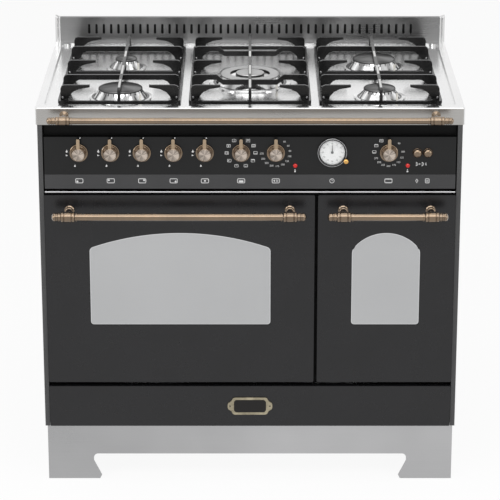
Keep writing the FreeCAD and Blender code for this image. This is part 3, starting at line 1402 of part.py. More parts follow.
def burner_caps_for(name, burner, level):
    """One domed cap, or an outer ring and an inner cap on the large burner."""
    top = level + s.burner_cap
    lip = level + s.burner_cap_lip
    cap = new_body()
    if name != "centre":
        revolve(cap, "Z", [
            (0, level), (burner.cap, level), (burner.cap, lip),
            (burner.cap - s.burner_cap_lip, top - s.burner_cap_over), (0, top),
        ])
        return [place(cap, burner.x, burner.y, 0)]
    groove = burner.cap * CENTRE_GROOVE_SHARE
    revolve(cap, "Z", [
        (groove, level), (burner.cap, level), (burner.cap, lip),
        (burner.cap - s.burner_cap_lip, lip + s.burner_cap_over), (groove, lip + s.burner_cap_over),
    ])
    inner = burner.cap * CENTRE_INNER_SHARE
    shoulder = lip + s.inner_cap_rise
    middle = new_body()
    revolve(middle, "Z", [
        (0, level), (inner, level), (inner, shoulder),
        (inner - s.burner_cap_lip, shoulder + s.burner_cap_over), (0, shoulder + s.burner_cap_over),
    ])
    return [place(cap, burner.x, burner.y, 0), place(middle, burner.x, burner.y, 0)]


def leg_curve(root, side, shares):
    """The hollow underside of a leg, from its foot inwards, as X and Z."""
    height = pan_top - pan_bottom
    return [(root + s.pan_finger * across * side, pan_top - height * down) for across, down in shares]


def shoulder(root, side):
    """The rounded top corner over a leg's foot, from its top outwards, as X and Z."""
    turn = s.pan_shoulder * SHOULDER_SHARE
    return [(root + s.pan_shoulder * side, pan_top), (root + turn * side, pan_top - turn),
            (root, pan_top - s.pan_shoulder)]


def finger_outline(root, side):
    """A finger with a foot at the ring and a thin tip over the burner, as X and Z."""
    tip = root + s.pan_finger * side
    return ([(root, pan_bottom), (root + s.pan_leg_foot * side, pan_bottom)]
            + leg_curve(root, side, LEG_SHARES)
            + [(tip, pan_top - s.pan_tip_depth), (tip, pan_top)] + shoulder(root, side))


def bar_outline(left, right, dips):
    """A bar across the whole support, down at both ends and, on the middle one, dipped under its pan."""
    low = pan_top - s.pan_bar_depth
    middle = (left + right) / 2
    upper, lower = [], []
    if dips:
        outer = s.pan_dip_half + s.pan_dip_slope
        upper = [(middle - outer, pan_top), (middle - s.pan_dip_half, pan_top - s.pan_dip),
                 (middle + s.pan_dip_half, pan_top - s.pan_dip), (middle + outer, pan_top)]
        lower = [(middle + outer, low), (middle + s.pan_dip_half, low - s.pan_dip),
                 (middle - s.pan_dip_half, low - s.pan_dip), (middle - outer, low)]
    shares = LEG_SHARES[:-1]
    return ([(left, pan_bottom)] + shoulder(left, 1)[::-1] + upper + shoulder(right, -1)
            + [(right, pan_bottom), (right - s.pan_leg_foot, pan_bottom)] + leg_curve(right, -1, shares)
            + [(right - s.pan_leg_top, low)] + lower + [(left + s.pan_leg_top, low)]
            + leg_curve(left, 1, shares)[::-1] + [(left + s.pan_leg_foot, pan_bottom)])


def pan_support(name, offset):
    body = new_body()
    left = pan_pitch * offset - pan_width / 2
    right = left + pan_width
    edge = s.pan_ring
    pad(body, "XY", pan_bottom, s.pan_ring_height, rectangle(left, right, pan_front, pan_rear),
        rectangle(left + edge, right - edge, pan_front + edge, pan_rear - edge))
    corners = [(x, y) for x in (left, right) for y in (pan_front, pan_rear)]
    round_edges(body, s.pan_corner, lambda edge: runs_along(edge, "Z") and at_corner(edge, corners, "xy"))
    first, last = left + s.pan_inset, right - s.pan_inset
    for share in PAN_FINGER_SHARES:
        y = pan_front + pan_depth * share - s.pan_blade / 2
        pad(body, "XZ", y, s.pan_blade, finger_outline(first, 1))
        pad(body, "XZ", y, s.pan_blade, finger_outline(last, -1))
    for share in PAN_BAR_SHARES:
        y = pan_front + pan_depth * share - s.pan_blade / 2
        pad(body, "XZ", y, s.pan_blade, bar_outline(first, last, dips=offset == 0))
    middle = (left + right) / 2
    spine_low = pan_top - s.pan_spine_depth
    pad(body, "YZ", middle - s.pan_spine / 2, s.pan_spine, [
        (pan_front, pan_bottom), (pan_front + edge, pan_bottom),
        (pan_front + edge, spine_low - s.pan_spine_depth),
        (pan_front + s.pan_spine_leg, spine_low), (pan_rear - s.pan_spine_leg, spine_low),
        (pan_rear - edge, spine_low - s.pan_spine_depth), (pan_rear - edge, pan_bottom),
        (pan_rear, pan_bottom), (pan_rear, pan_top - s.pan_spine_depth), (pan_rear - s.pan_tip_depth, pan_top),
        (pan_front + s.pan_tip_depth, pan_top), (pan_front, pan_top - s.pan_spine_depth),
    ])
    if offset != 0:
        y = pan_front + pan_depth / 2
        pad(body, "XY", pan_bottom, s.pan_ring_height,
            rectangle(left, right, y + s.pan_low_bar, y + s.pan_low_bar * 2))
        pad(body, "YZ", middle - s.pan_spine / 2, s.pan_spine,
            rectangle(y + s.pan_low_bar, y + s.pan_low_bar * 2, pan_bottom,
                      spine_low + s.pan_spine_depth / 2))
    for x in (left + edge, right - edge):
        for y in (pan_front + edge, pan_rear - edge):
            pad(body, "XY", hob_floor, s.pan_foot, circle(x, y, s.pan_foot_radius))
    node(name, body)


def pan_supports():
    for name, offset in (("pan_support_left", -1), ("pan_support_centre", 0), ("pan_support_right", 1)):
        pan_support(name, offset)


def splashback():
    body = new_body()
    front = s.cooker_depth - s.splash_depth
    wall = s.steel_sheet
    top = s.hob_height + s.splash_height
    half = half_width - s.splash_end
    outline = [
        (front, s.hob_height), (s.cooker_depth - wall, s.hob_height),
        (s.cooker_depth - wall, s.hob_height + wall), (front + wall, s.hob_height + wall),
        (front + wall, top - wall), (s.cooker_depth - wall, top - wall),
        (s.cooker_depth - wall, s.hob_height + wall * 2), (s.cooker_depth, s.hob_height + wall * 2),
        (s.cooker_depth, top), (front, top),
    ]
    pad(body, "YZ", -half, half * 2, outline)
    span = s.slot_pitch * (SPLASH_SLOTS - 1)
    low = s.hob_height + s.slot_lift
    radius = s.slot_width / 2
    first = -span / 2
    crown = radius * SLOT_CROWN_SHARE
    high = low + s.slot_height
    slot = pocket(body, "XZ", front, wall, [
        (first - radius, low + crown, crown), (first + radius, low + crown),
        (first + radius, high - crown, crown), (first - radius, high - crown),
    ])
    pattern(body, slot, "X", span, SPLASH_SLOTS)
    ends = []
    for side in (-1, 1):
        near = half * side
        far = half_width * side
        low_x, high_x = (near, far) if side > 0 else (far, near)
        ends.append(box(low_x, high_x, front - wall, s.cooker_depth, s.hob_height,
                        top + s.splash_end_rise))
    node("splashback", group(body, *ends))


def towel_rail():
    posts = (-(half_width - s.rail_post_inset), half_width - s.rail_post_inset)
    rail = bar_with_posts(-(half_width - s.rail_end_gap), half_width - s.rail_end_gap, posts, s.rail_y,
                          s.hob_height - s.rail_drop, size_of(0), s.rail_radius, s.rail_collar_radius,
                          s.rail_collar_length, s.rail_post_radius, s.handle_rosette_radius, s.handle_rosette)
    node("towel_rail", rail)


base_tray()
side_panels()
rear_panel()
front_frame()
plinth()
levelling_feet()
oven_cavities()
oven_insulation()
oven_door_seals()
shelf_supports()
oven_shelves()
heating_elements()
fan_cover()
convection_fan()
fan_motor()
oven_lamps()
doors()
drawer()
control_panel()
trim_strip()
knobs()
gas_manifold()
control_switches()
buttons()
pilot_lamps()
clock()
hob_tray()
burners()
pan_supports()
splashback()
towel_rail()
doc.recompute()

# Check every object, then write each piece
for thing in doc.Objects:
    if "Invalid" in thing.State or "Error" in thing.State:
        raise ValueError(f"{thing.Label} failed: {thing.State}")
for name, thing in nodes.items():
    if thing.Shape.isNull() or not thing.Shape.isValid():
        raise ValueError(f"{name} has no valid shape")
os.makedirs("parts", exist_ok=True)
for name, thing in nodes.items():
    thing.Shape.exportStep(f"parts/{name}.step")
print(len(nodes), "nodes written")
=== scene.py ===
import math

import bmesh
import bpy
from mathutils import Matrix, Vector


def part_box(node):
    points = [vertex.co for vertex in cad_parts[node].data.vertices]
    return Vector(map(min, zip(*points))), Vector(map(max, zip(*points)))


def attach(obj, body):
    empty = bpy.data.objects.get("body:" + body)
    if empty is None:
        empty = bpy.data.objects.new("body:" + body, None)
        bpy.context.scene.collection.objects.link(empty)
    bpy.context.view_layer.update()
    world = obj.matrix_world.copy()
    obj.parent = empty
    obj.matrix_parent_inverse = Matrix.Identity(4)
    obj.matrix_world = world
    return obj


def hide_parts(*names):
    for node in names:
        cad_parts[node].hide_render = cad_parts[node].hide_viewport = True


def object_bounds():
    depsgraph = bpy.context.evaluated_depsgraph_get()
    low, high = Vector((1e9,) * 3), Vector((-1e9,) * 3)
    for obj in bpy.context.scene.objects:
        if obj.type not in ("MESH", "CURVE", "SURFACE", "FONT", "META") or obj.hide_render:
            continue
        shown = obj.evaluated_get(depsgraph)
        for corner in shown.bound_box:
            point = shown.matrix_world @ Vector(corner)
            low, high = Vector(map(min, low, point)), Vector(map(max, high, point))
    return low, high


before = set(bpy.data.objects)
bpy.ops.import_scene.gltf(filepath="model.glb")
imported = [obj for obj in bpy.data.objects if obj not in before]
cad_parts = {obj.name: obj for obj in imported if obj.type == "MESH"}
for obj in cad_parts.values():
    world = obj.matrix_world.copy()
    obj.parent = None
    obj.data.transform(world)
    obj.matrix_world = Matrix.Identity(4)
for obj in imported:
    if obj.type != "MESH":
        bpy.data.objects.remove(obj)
cad_low, cad_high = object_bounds()


# Base tray, drawer box and runners, rear panel and hinge brackets
# The hidden structure of the body: folded zinc-coated sheet, spot welded at its flanges. It stays as packed
# and gets a finish with the cloudy crystals and the fine rolling lines of such sheet.
def plain(material, **values):
    """Set plain values on a finish's shader, their names written with underscores."""
    for label, value in values.items():
        material.node_tree.nodes["Principled BSDF"].inputs[label.replace("_", " ")].default_value = value


def finish_named(name, colour, metallic, roughness):
    """A finish whose shader holds the plain values of its metal, paint or plastic."""
    material = bpy.data.materials.new(name)
    material.use_nodes = True
    plain(material, Base_Color=(*colour, 1), Metallic=metallic, Roughness=roughness)
    return material


def add_node(tree, kind, inputs=(), **settings):
    """A node with its settings, its sockets given values or links by their names or numbers."""
    node = tree.nodes.new("ShaderNode" + kind)
    for key, value in settings.items():
        setattr(node, key, value)
    for key, value in dict(inputs).items():
        if isinstance(value, bpy.types.NodeSocket):
            tree.links.new(value, node.inputs[key])
        else:
            node.inputs[key].default_value = value
    return node


def calc(tree, operation, *values):
    """The result of a sum on sockets and numbers."""
    return add_node(tree, "Math", enumerate(values), operation=operation).outputs[0]


def ranged(tree, value, low, high, to_low=-1.0, to_high=1.0):
    """A value's span from low to high, stretched over another span."""
    spans = {"Value": value, "From Min": low, "From Max": high, "To Min": to_low, "To Max": to_high}
    return add_node(tree, "MapRange", spans).outputs[0]


def local(tree):
    """Places on a piece, in its own metres."""
    return add_node(tree, "TexCoord").outputs["Object"]


def noise(tree, scale, detail=2.0, roughness=0.5, vector=None):
    """Cloudy noise over a piece's own places, or over another vector."""
    settings = {"Vector": vector or local(tree), "Scale": scale, "Detail": detail, "Roughness": roughness}
    return add_node(tree, "TexNoise", settings).outputs["Fac"]


def scaled(tree, colour, amount):
    """A colour made lighter or darker by a varying amount."""
    return add_node(tree, "VectorMath", {0: colour, "Scale": amount}, operation="SCALE").outputs[0]


def feed(material, colour=None, roughness=None, height=None, strength=0.1, depth=0.0005):
    """Link a varying colour, roughness and relief into a finish's shader."""
    tree = material.node_tree
    shader = tree.nodes["Principled BSDF"]
    if height:
        relief = add_node(tree, "Bump", {"Height": height, "Strength": strength, "Distance": depth})
        tree.links.new(relief.outputs["Normal"], shader.inputs["Normal"])
    for label, socket in (("Base Color", colour), ("Roughness", roughness)):
        if socket:
            tree.links.new(socket, shader.inputs[label])


def effect(name, **inputs):
    """A node group that takes a colour, a roughness and these inputs, with the sockets of its two ends."""
    group = bpy.data.node_groups.new(name, "ShaderNodeTree")
    for label, value in {"Color": (0.5, 0.5, 0.5, 1), "Roughness": 0.3, **inputs}.items():
        kind = "Vector" if value is None else "Color" if isinstance(value, tuple) else "Float"
        socket = group.interface.new_socket(label, in_out="INPUT", socket_type="NodeSocket" + kind)
        if value is not None:
            socket.default_value = value
    for label, kind in (("Color", "Color"), ("Roughness", "Float"), ("Height", "Float")):
        group.interface.new_socket(label, in_out="OUTPUT", socket_type="NodeSocket" + kind)
    return group, group.nodes.new("NodeGroupInput").outputs, group.nodes.new("NodeGroupOutput").inputs


def close(group, made, *results):
    """Lead an effect's colour, roughness and height out of its group."""
    for result, socket in zip(results, made):
        group.links.new(result, socket)


def dressed(name, colour, metallic, roughness, group, relief, **settings):
    """A finish that a shared effect feeds, with the strength and depth of its relief."""
    material = finish_named(name, colour, metallic, roughness)
    skin = add_node(material.node_tree, "Group", {"Color": (*colour, 1), "Roughness": roughness, **settings},
                    node_tree=group)
    feed(material, *skin.outputs, *relief)
    return material


rolled, given, made = effect("Rolled grain", Vector=None, Grain=0.1, Cloud=0.1, Size=3.0)
lines = ranged(rolled, noise(rolled, 1.0, 5.0, 0.65, given["Vector"]), 0.25, 0.75)
clouds = ranged(rolled, noise(rolled, given["Size"], 3.0), 0.3, 0.7)
brightness = calc(rolled, "MULTIPLY_ADD", lines, given["Grain"],
                  calc(rolled, "MULTIPLY_ADD", clouds, given["Cloud"], 1.0))
close(rolled, made, scaled(rolled, given["Color"], brightness),
      calc(rolled, "MULTIPLY", brightness, given["Roughness"]), lines)


def grained(name, colour, roughness, stretch, grain, cloud, cloud_size=3.0, metallic=1.0, bump=0.02):
    """Metal or paint with a grain drawn out along one way, and clouds of tone over it."""
    material = dressed(name, colour, metallic, roughness, rolled, (bump, 0.001), Grain=grain, Cloud=cloud,
                       Size=cloud_size)
    tree = material.node_tree
    drawn_out = add_node(tree, "Mapping", {"Vector": local(tree), "Scale": stretch})
    tree.links.new(drawn_out.outputs[0], tree.nodes["Group"].inputs["Vector"])
    return material


def give(material, *nodes):
    """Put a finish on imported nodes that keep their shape."""
    for name in nodes:
        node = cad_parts[name]
        node.data.materials.clear()
        node.data.materials.append(material)


zinc_sheet = grained("zinc_sheet", (0.42, 0.43, 0.44), 0.42, (30, 30, 420), 0.07, 0.16, cloud_size=26)
give(zinc_sheet, "base_tray", "drawer_runners", "rear_panel", "door_hinges", "drawer_box")


# Levelling feet
# Threaded steel legs with turned pads, screwed into the base tray's corners behind the plinth.
foot_metal = grained("foot_metal", (0.3, 0.3, 0.31), 0.38, (60, 60, 900), 0.12, 0.1, cloud_size=40)
give(foot_metal, "levelling_feet")


# Side panels
# Folded sheet painted grey-black in a fine satin texture; a narrow front flange of each shows beside the doors.
enamel, given, made = effect("Enamel skin", Peel=900.0, Smudge=0.15, Mottle=0.1)
smudges = ranged(enamel, noise(enamel, 11.0, 4.0, 0.6), 0.3, 0.7)
dulled, toned = (calc(enamel, "MULTIPLY_ADD", smudges, given[label], 1.0) for label in ("Smudge", "Mottle"))
close(enamel, made, scaled(enamel, given["Color"], toned),
      calc(enamel, "MULTIPLY", dulled, given["Roughness"]), noise(enamel, given["Peel"]))


def enamelled(name, colour, roughness, peel_size=900.0, smudge=0.15, mottle=0.1, bump=0.03, shine=0.5):
    """Fired or sprayed enamel: a fine orange peel with faint smudges over it."""
    material = dressed(name, colour, 0, roughness, enamel, (bump, 0.0004), Peel=peel_size, Smudge=smudge,
                       Mottle=mottle)
    plain(material, Specular_IOR_Level=shine)
    return material


side_paint = enamelled("side_paint", (0.05, 0.05, 0.051), 0.38, peel_size=700, bump=0.06)
give(side_paint, "side_panel_left", "side_panel_right")


# Plinth
# A folded surround of brushed stainless steel with an arch cut in its front and sides and cove-shaped feet.
# It is rebuilt with small bends along its cut edges, which catch the light.
def deselect():
    """Object mode with nothing selected."""
    if bpy.context.object and bpy.context.object.mode != "OBJECT":
        bpy.ops.object.mode_set(mode="OBJECT")
    bpy.ops.object.select_all(action="DESELECT")


def only(piece):
    """Leave one piece selected and active, in object mode."""
    deselect()
    piece.select_set(True)
    bpy.context.view_layer.objects.active = piece


def edit_all(kind):
    """Edit mode with all of the active piece selected, as vertices, edges or faces."""
    bpy.ops.object.mode_set(mode="EDIT")
    bpy.ops.mesh.select_mode(type=kind)
    bpy.ops.mesh.select_all(action="SELECT")


def settled(name):
    """The active piece under its name, with its place, turn and scale applied."""
    bpy.ops.object.transform_apply(location=True, rotation=True, scale=True)
    bpy.context.object.name = name
    return bpy.context.object


def block(name, low, high):
    """A box between two corners, left in object mode ready to be shaped."""
    deselect()
    bpy.ops.mesh.primitive_cube_add(size=1, location=[(a + b) / 2 for a, b in zip(low, high)])
    bpy.context.object.scale = [abs(b - a) for a, b in zip(low, high)]
    return settled(name)


def draw_out(step):
    """Extrude what is selected in edit mode."""
    bpy.ops.mesh.extrude_region_move(TRANSFORM_OT_translate={"value": step})


def drawn(name, points, step=None):
    """A flat face drawn corner by corner and drawn out by a step, left in edit mode with its end selected."""
    deselect()
    bpy.ops.mesh.primitive_plane_add(size=0.001, location=points[0])
    piece = settled(name)
    edit_all("VERT")
    bpy.ops.mesh.merge(type="CENTER")
    for start, end in zip(points, points[1:]):
        bpy.ops.mesh.extrude_vertices_move(TRANSFORM_OT_translate={"value": [b - a for a, b in zip(start, end)]})
    bpy.ops.mesh.select_all(action="SELECT")
    bpy.ops.mesh.edge_face_add()
    if step:
        draw_out(step)
    return piece


def face_outward():
    """Turn all the faces of the piece in edit mode outward."""
    bpy.ops.mesh.select_all(action="SELECT")
    bpy.ops.mesh.normals_make_consistent(inside=False)


def choose(piece, kind, test):
    """In edit mode, select only those vertices, edges or faces that test picks."""
    if bpy.context.object.mode != "EDIT":
        only(piece)
        bpy.ops.object.mode_set(mode="EDIT")
    bpy.ops.mesh.select_mode(type=kind)
    bpy.ops.mesh.select_all(action="DESELECT")
    shape = bmesh.from_edit_mesh(piece.data)
    shape.normal_update()
    for item in {"VERT": shape.verts, "EDGE": shape.edges, "FACE": shape.faces}[kind]:
        if test(item):
            item.select = True
    shape.select_flush_mode()
    bmesh.update_edit_mesh(piece.data)


def take_faces(piece, test):
    """Delete the faces that test picks."""
    choose(piece, "FACE", test)
    bpy.ops.mesh.delete(type="FACE")


def middle(edge):
    return (edge.verts[0].co + edge.verts[1].co) / 2


def near(a, b, reach=0.0002):
    return abs(a - b) < reach


def round_edges(piece, axis, offset, segments, test=lambda edge: True):
    """Bevel those edges that lie along an axis, given as 0, 1 or 2, and that test picks."""
    def picked(edge):
        run = edge.verts[1].co - edge.verts[0].co
        return run.length > 0 and abs(run[axis]) > run.length * 0.999 and test(edge)
    choose(piece, "EDGE", picked)
    bpy.ops.mesh.bevel(offset=offset, segments=segments)


def apply_modifier(piece, kind, **settings):
    """Add a modifier, set it and apply it."""
    only(piece)
    modifier = piece.modifiers.new(kind.title(), kind)
    for key, value in settings.items():
        setattr(modifier, key, value)
    bpy.ops.object.modifier_apply(modifier=modifier.name)


def soften(piece, width, segments=2, angle=40):
    """Round every edge that is sharper than an angle."""
    apply_modifier(piece, "BEVEL", width=width, segments=segments, limit_method="ANGLE",
                   angle_limit=math.radians(angle), use_clamp_overlap=True)


def combine(piece, other, operation="DIFFERENCE"):
    """Cut another shape out of a piece, or add it, and discard that shape."""
    apply_modifier(piece, "BOOLEAN", operation=operation, solver="EXACT", object=other)
    bpy.data.objects.remove(other)


def fit(piece, body, material, slot, *nodes, smooth=35, outward=True):
    """Clean a shaped piece, give it its finish and seat it in the assembly."""
    only(piece)
    edit_all("VERT")
    bpy.ops.mesh.remove_doubles(threshold=0.000002)
    if outward:
        bpy.ops.mesh.normals_make_consistent(inside=False)
    bpy.ops.object.mode_set(mode="OBJECT")
    bpy.ops.object.shade_smooth_by_angle(angle=math.radians(smooth))
    apply_modifier(piece, "WEIGHTED_NORMAL", keep_sharp=True, weight=60)
    piece.data.materials.clear()
    piece.data.materials.append(material)
    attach(piece, body)
    if nodes:
        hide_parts(*nodes)
    return piece


plinth_low, plinth_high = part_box("plinth")
plinth_sheet, plinth_flange, plinth_bend, past = 0.0015, 0.014, 0.0004, 0.01
heel_top, neck_top, arch_top, arch_bend = 0.009, 0.044, 0.059, 0.009
front_arch = {"heel": -0.3305, "foot": -0.326, "neck": -0.343}
side_arch = {"heel": 0.1125, "foot": 0.117, "neck": 0.1}
rear_way_half, side_reach = 0.427, 0.5

plinth = block("plinth_shell", plinth_low, plinth_high)
take_faces(plinth, lambda face: face.normal.z < -0.9)
choose(plinth, "FACE", lambda face: face.normal.z > 0.9)
bpy.ops.mesh.inset(thickness=plinth_flange)
bpy.ops.mesh.delete(type="FACE")
apply_modifier(plinth, "SOLIDIFY", thickness=plinth_sheet, offset=-1)


def arch_cutter(name, start, end, heel, foot, neck, place, axis, step):
    """A prism of an arch between two ends, with its upper corners rounded."""
    half = ((heel, -past), (heel, 0), (foot, heel_top), (neck, neck_top), (neck, arch_top))
    outline = [(start + across, up) for across, up in half] + [(end - across, up) for across, up in reversed(half)]
    cutter = drawn(name, [place(across, up) for across, up in outline], step)
    round_edges(cutter, axis, arch_bend, 6, lambda edge: near(middle(edge).z, arch_top))
    face_outward()
    return cutter


near_y, far_y = plinth_low[1], plinth_high[1]
combine(plinth, arch_cutter("front_arch", 0, 0, **front_arch, place=lambda x, z: (x, near_y - past, z), axis=1,
                            step=(0, past * 3, 0)))
combine(plinth, arch_cutter("side_arch", near_y, far_y, **side_arch, place=lambda y, z: (-side_reach, y, z), axis=0,
                            step=(side_reach * 2, 0, 0)))
combine(plinth, block("rear_way", (-rear_way_half, far_y - past, -past),
                      (rear_way_half, far_y + past, plinth_high[2] - plinth_flange)))
soften(plinth, plinth_bend, segments=1)
plinth_steel = grained("plinth_steel", (0.42, 0.42, 0.425), 0.3, (4, 4, 900), 0.035, 0.16, cloud_size=2.4, bump=0.01)
fit(plinth, "cooker", plinth_steel, "hob_steel", "plinth")


# Oven cavities and fan cover
# Pressed steel boxes fired with glossy dark enamel full of pale flecks; the fan cover is screwed to the rear
# wall of the main one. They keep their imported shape.
def mixed(tree, factor, first, second):
    """Two colours mixed by a mask."""
    return add_node(tree, "Mix", {"Factor": factor, "A": first, "B": second}, data_type="RGBA").outputs["Result"]


oven_dark, fleck_grey = (0.018, 0.02, 0.026), (0.3, 0.31, 0.33)
oven_enamel = dressed("oven_enamel", oven_dark, 0, 0.22, enamel, (0.04, 0.0005), Smudge=0.3)
tree = oven_enamel.node_tree
flecks = add_node(tree, "TexVoronoi", {"Vector": local(tree), "Scale": 620.0, "Randomness": 1.0})
fleck_mask = calc(tree, "MULTIPLY", ranged(tree, flecks.outputs["Distance"], 0.12, 0.2, 1.0, 0.0),
                  ranged(tree, noise(tree, 330.0, 1.0), 0.52, 0.56, 0.0))
tree.links.new(mixed(tree, fleck_mask, (*oven_dark, 1), (*fleck_grey, 1)), tree.nodes["Group"].inputs["Color"])
give(oven_enamel, "main_oven_cavity", "small_oven_cavity", "fan_cover")


# Oven racks, shelves, heating elements, fan, motor and lamps
# Chromed wire racks hang on the side walls and carry a wire shelf and a drip tray; oxidised tube elements, a
# pressed fan with its motor, and a lamp in each oven are clamped through the rear wall.
give(grained("rack_chrome", (0.62, 0.62, 0.63), 0.16, (200, 200, 200), 0.06, 0.08, cloud_size=30),
     "shelf_supports", "oven_shelves")
give(grained("element_metal", (0.07, 0.062, 0.058), 0.5, (90, 90, 90), 0.25, 0.35, cloud_size=24, metallic=0.7),
     "heating_elements")
give(grained("fan_metal", (0.6, 0.6, 0.61), 0.35, (80, 900, 80), 0.1, 0.1, cloud_size=30), "convection_fan")
give(grained("motor_metal", (0.36, 0.36, 0.37), 0.45, (50, 600, 50), 0.12, 0.12, cloud_size=30), "fan_motor")
lamp_glass = finish_named("lamp_glass", (0.95, 0.93, 0.86), 0, 0.12)
plain(lamp_glass, Transmission_Weight=0.6)
feed(lamp_glass, height=noise(lamp_glass.node_tree, 160.0), strength=0.2, depth=0.0006)
give(lamp_glass, "oven_lamps")


# Insulation and door seals
# Blankets of pressed mineral wool wrap the cavities, and a silicone rope seals each oven's mouth.
wool = finish_named("mineral_wool", (0.5, 0.42, 0.25), 0, 0.95)
fibres = noise(wool.node_tree, 260.0, 8.0, 0.8)
tones = add_node(wool.node_tree, "ValToRGB", {"Fac": fibres})
dark_wool, pale_wool = tones.color_ramp.elements
dark_wool.color, dark_wool.position = (0.3, 0.24, 0.12, 1), 0.35
pale_wool.color, pale_wool.position = (0.66, 0.58, 0.38, 1), 0.65
feed(wool, tones.outputs["Color"], height=fibres, strength=0.8, depth=0.003)
give(wool, "oven_insulation")
give(enamelled("seal_rubber", (0.022, 0.022, 0.023), 0.6, peel_size=1500, bump=0.15), "oven_door_seals")


# Door panels and front frame
# Each oven door's outer panel is a folded steel pan in satin black enamel with an arched window cut through. The
# frame behind, which shows in the gaps, is a duller near-black that is painted shade, so that the gaps read dark.
door_enamel = enamelled("door_enamel", (0.0078, 0.0077, 0.0088), 0.27, peel_size=820, smudge=0.2, mottle=0.12,
                        bump=0.02, shine=0.4)
# The frame's near-black colour is painted shade for the gaps between the doors and the drawer.
give(enamelled("frame_gap_shade", (0.004, 0.004, 0.004), 0.6, peel_size=700, bump=0.05, shine=0.2), "front_frame")
window_margin, window_rise = {"main": 0.092, "small": 0.0715}, {"main": 0.0342, "small": 0.039}
window_foot, window_head, window_corner, window_steps = 0.1313, 0.0827, 0.008, 28
panel_sheet, panel_corner, panel_bend = 0.0012, 0.003, 0.0005
hinge_inset, slot_half, slot_front = 0.05, 0.0145, 0.0048


def folded_pan(name, node):
    """A sheet pan of a node's size, open at its back."""
    pan = block(name, *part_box(node))
    round_edges(pan, 1, panel_corner, 4)
    take_faces(pan, lambda face: face.normal.y > 0.9)
    apply_modifier(pan, "SOLIDIFY", thickness=panel_sheet, offset=-1)
    return pan


def opened(width, keep_inside=False):
    """Inset the face in edit mode by a width and keep only the band, or only what lies inside it."""
    if width:
        bpy.ops.mesh.inset(thickness=width)
        if keep_inside:
            bpy.ops.mesh.select_all(action="INVERT")
        bpy.ops.mesh.delete(type="FACE")
        bpy.ops.mesh.select_all(action="SELECT")


def window_face(name, door, y, inset=0.0, width=0.0, deep=0.01):
    """A door's window with its corners rounded and an arc for its head, or a band inside it, drawn out."""
    low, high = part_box(door + "_door_panel")
    rise = window_rise[door]
    left, right = low[0] + window_margin[door], high[0] - window_margin[door]
    bottom, shoulder = low[2] + window_foot, high[2] - window_head - rise
    half = (right - left) / 2
    radius = (half * half + rise * rise) / (2 * rise)
    centre_x, centre_z, spread = (left + right) / 2, shoulder + rise - radius, math.asin(half / radius)
    head = [(centre_x + radius * math.sin(angle), y, centre_z + radius * math.cos(angle))
            for angle in (spread - 2 * spread * n / window_steps for n in range(window_steps + 1))]
    face = drawn(name, [(left, y, bottom), (right, y, bottom)] + head)
    choose(face, "VERT", lambda vert: any(near(vert.co.x, x) and near(vert.co.z, z)
                                          for x in (left, right) for z in (bottom, shoulder)))
    bpy.ops.mesh.bevel(offset=window_corner, segments=5, affect="VERTICES")
    edit_all("FACE")
    opened(inset, keep_inside=True)
    opened(width)
    draw_out((0, deep, 0))
    return face


for door in ("main", "small"):
    low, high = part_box(door + "_door_panel")
    panel = folded_pan(door + "_door_outer", door + "_door_panel")
    cutter = window_face(door + "_window_cut", door, low[1] - 0.005)
    face_outward()
    combine(panel, cutter)
    for x in (low[0] + hinge_inset, high[0] - hinge_inset):
        combine(panel, block(door + "_hinge_slot", (x - slot_half, low[1] + slot_front, low[2] - panel_sheet),
                             (x + slot_half, high[1] + panel_sheet, low[2] + panel_sheet * 2)))
    soften(panel, panel_bend)
    fit(panel, door + "_door", door_enamel, "black_enamel", door + "_door_panel")


# Door glass
# The outer pane is grey reflective glass with a ground bevel that shows as a bright line inside a dark
# gasket; a clear pane closes the liner behind it.
mirror_grey = (0.46, 0.465, 0.47)
mirror_glass = finish_named("mirror_glass", mirror_grey, 0.9, 0.05)
tree = mirror_glass.node_tree
film = noise(tree, 3.2, 4.0)
feed(mirror_glass, scaled(tree, mirror_grey, ranged(tree, film, 0.3, 0.7, 0.96, 1.04)),
     ranged(tree, film, 0.3, 0.7, 0.04, 0.09))
bevel_line = grained("glass_bevel", (0.62, 0.625, 0.635), 0.08, (60, 60, 60), 0.02, 0.03)
gasket = enamelled("window_gasket", (0.006, 0.006, 0.006), 0.5, peel_size=1600, bump=0.1)
clear_glass = finish_named("clear_glass", (0.9, 0.93, 0.92), 0, 0.02)
plain(clear_glass, Transmission_Weight=0.95)
tree = clear_glass.node_tree
feed(clear_glass, roughness=ranged(tree, noise(tree, 9.0, 5.0), 0.35, 0.75, 0.01, 0.09))
pane_gap, pane_thick, gasket_wide, gasket_deep, bevel_wide, bevel_deep = 0.0006, 0.004, 0.0016, 0.0015, 0.0014, 0.0009
bevel_back, pane_bend, inner_bend = 0.0002, 0.0003, 0.0005

for door in ("main", "small"):
    body, glass = door + "_door", door + "_door_glass"
    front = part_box(door + "_door_panel")[0][1] + panel_sheet
    pane = window_face(door + "_outer_pane", door, front + pane_gap, deep=pane_thick - pane_gap)
    soften(pane, pane_bend, segments=1)
    fit(pane, body, mirror_glass, "door_glass", glass)
    fit(window_face(door + "_window_gasket", door, front, width=gasket_wide, deep=gasket_deep), body, gasket,
        "seal_rubber")
    fit(window_face(door + "_window_bevel", door, front + bevel_back, gasket_wide, bevel_wide, bevel_deep), body,
        bevel_line, "trim_chrome")
    low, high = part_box(glass)
    inner = block(door + "_inner_pane", (low[0], high[1] - pane_thick, low[2]), high)
    soften(inner, inner_bend)
    fit(inner, body, clear_glass, "door_glass", glass)
give(oven_enamel, "main_door_inner_frame", "small_door_inner_frame")


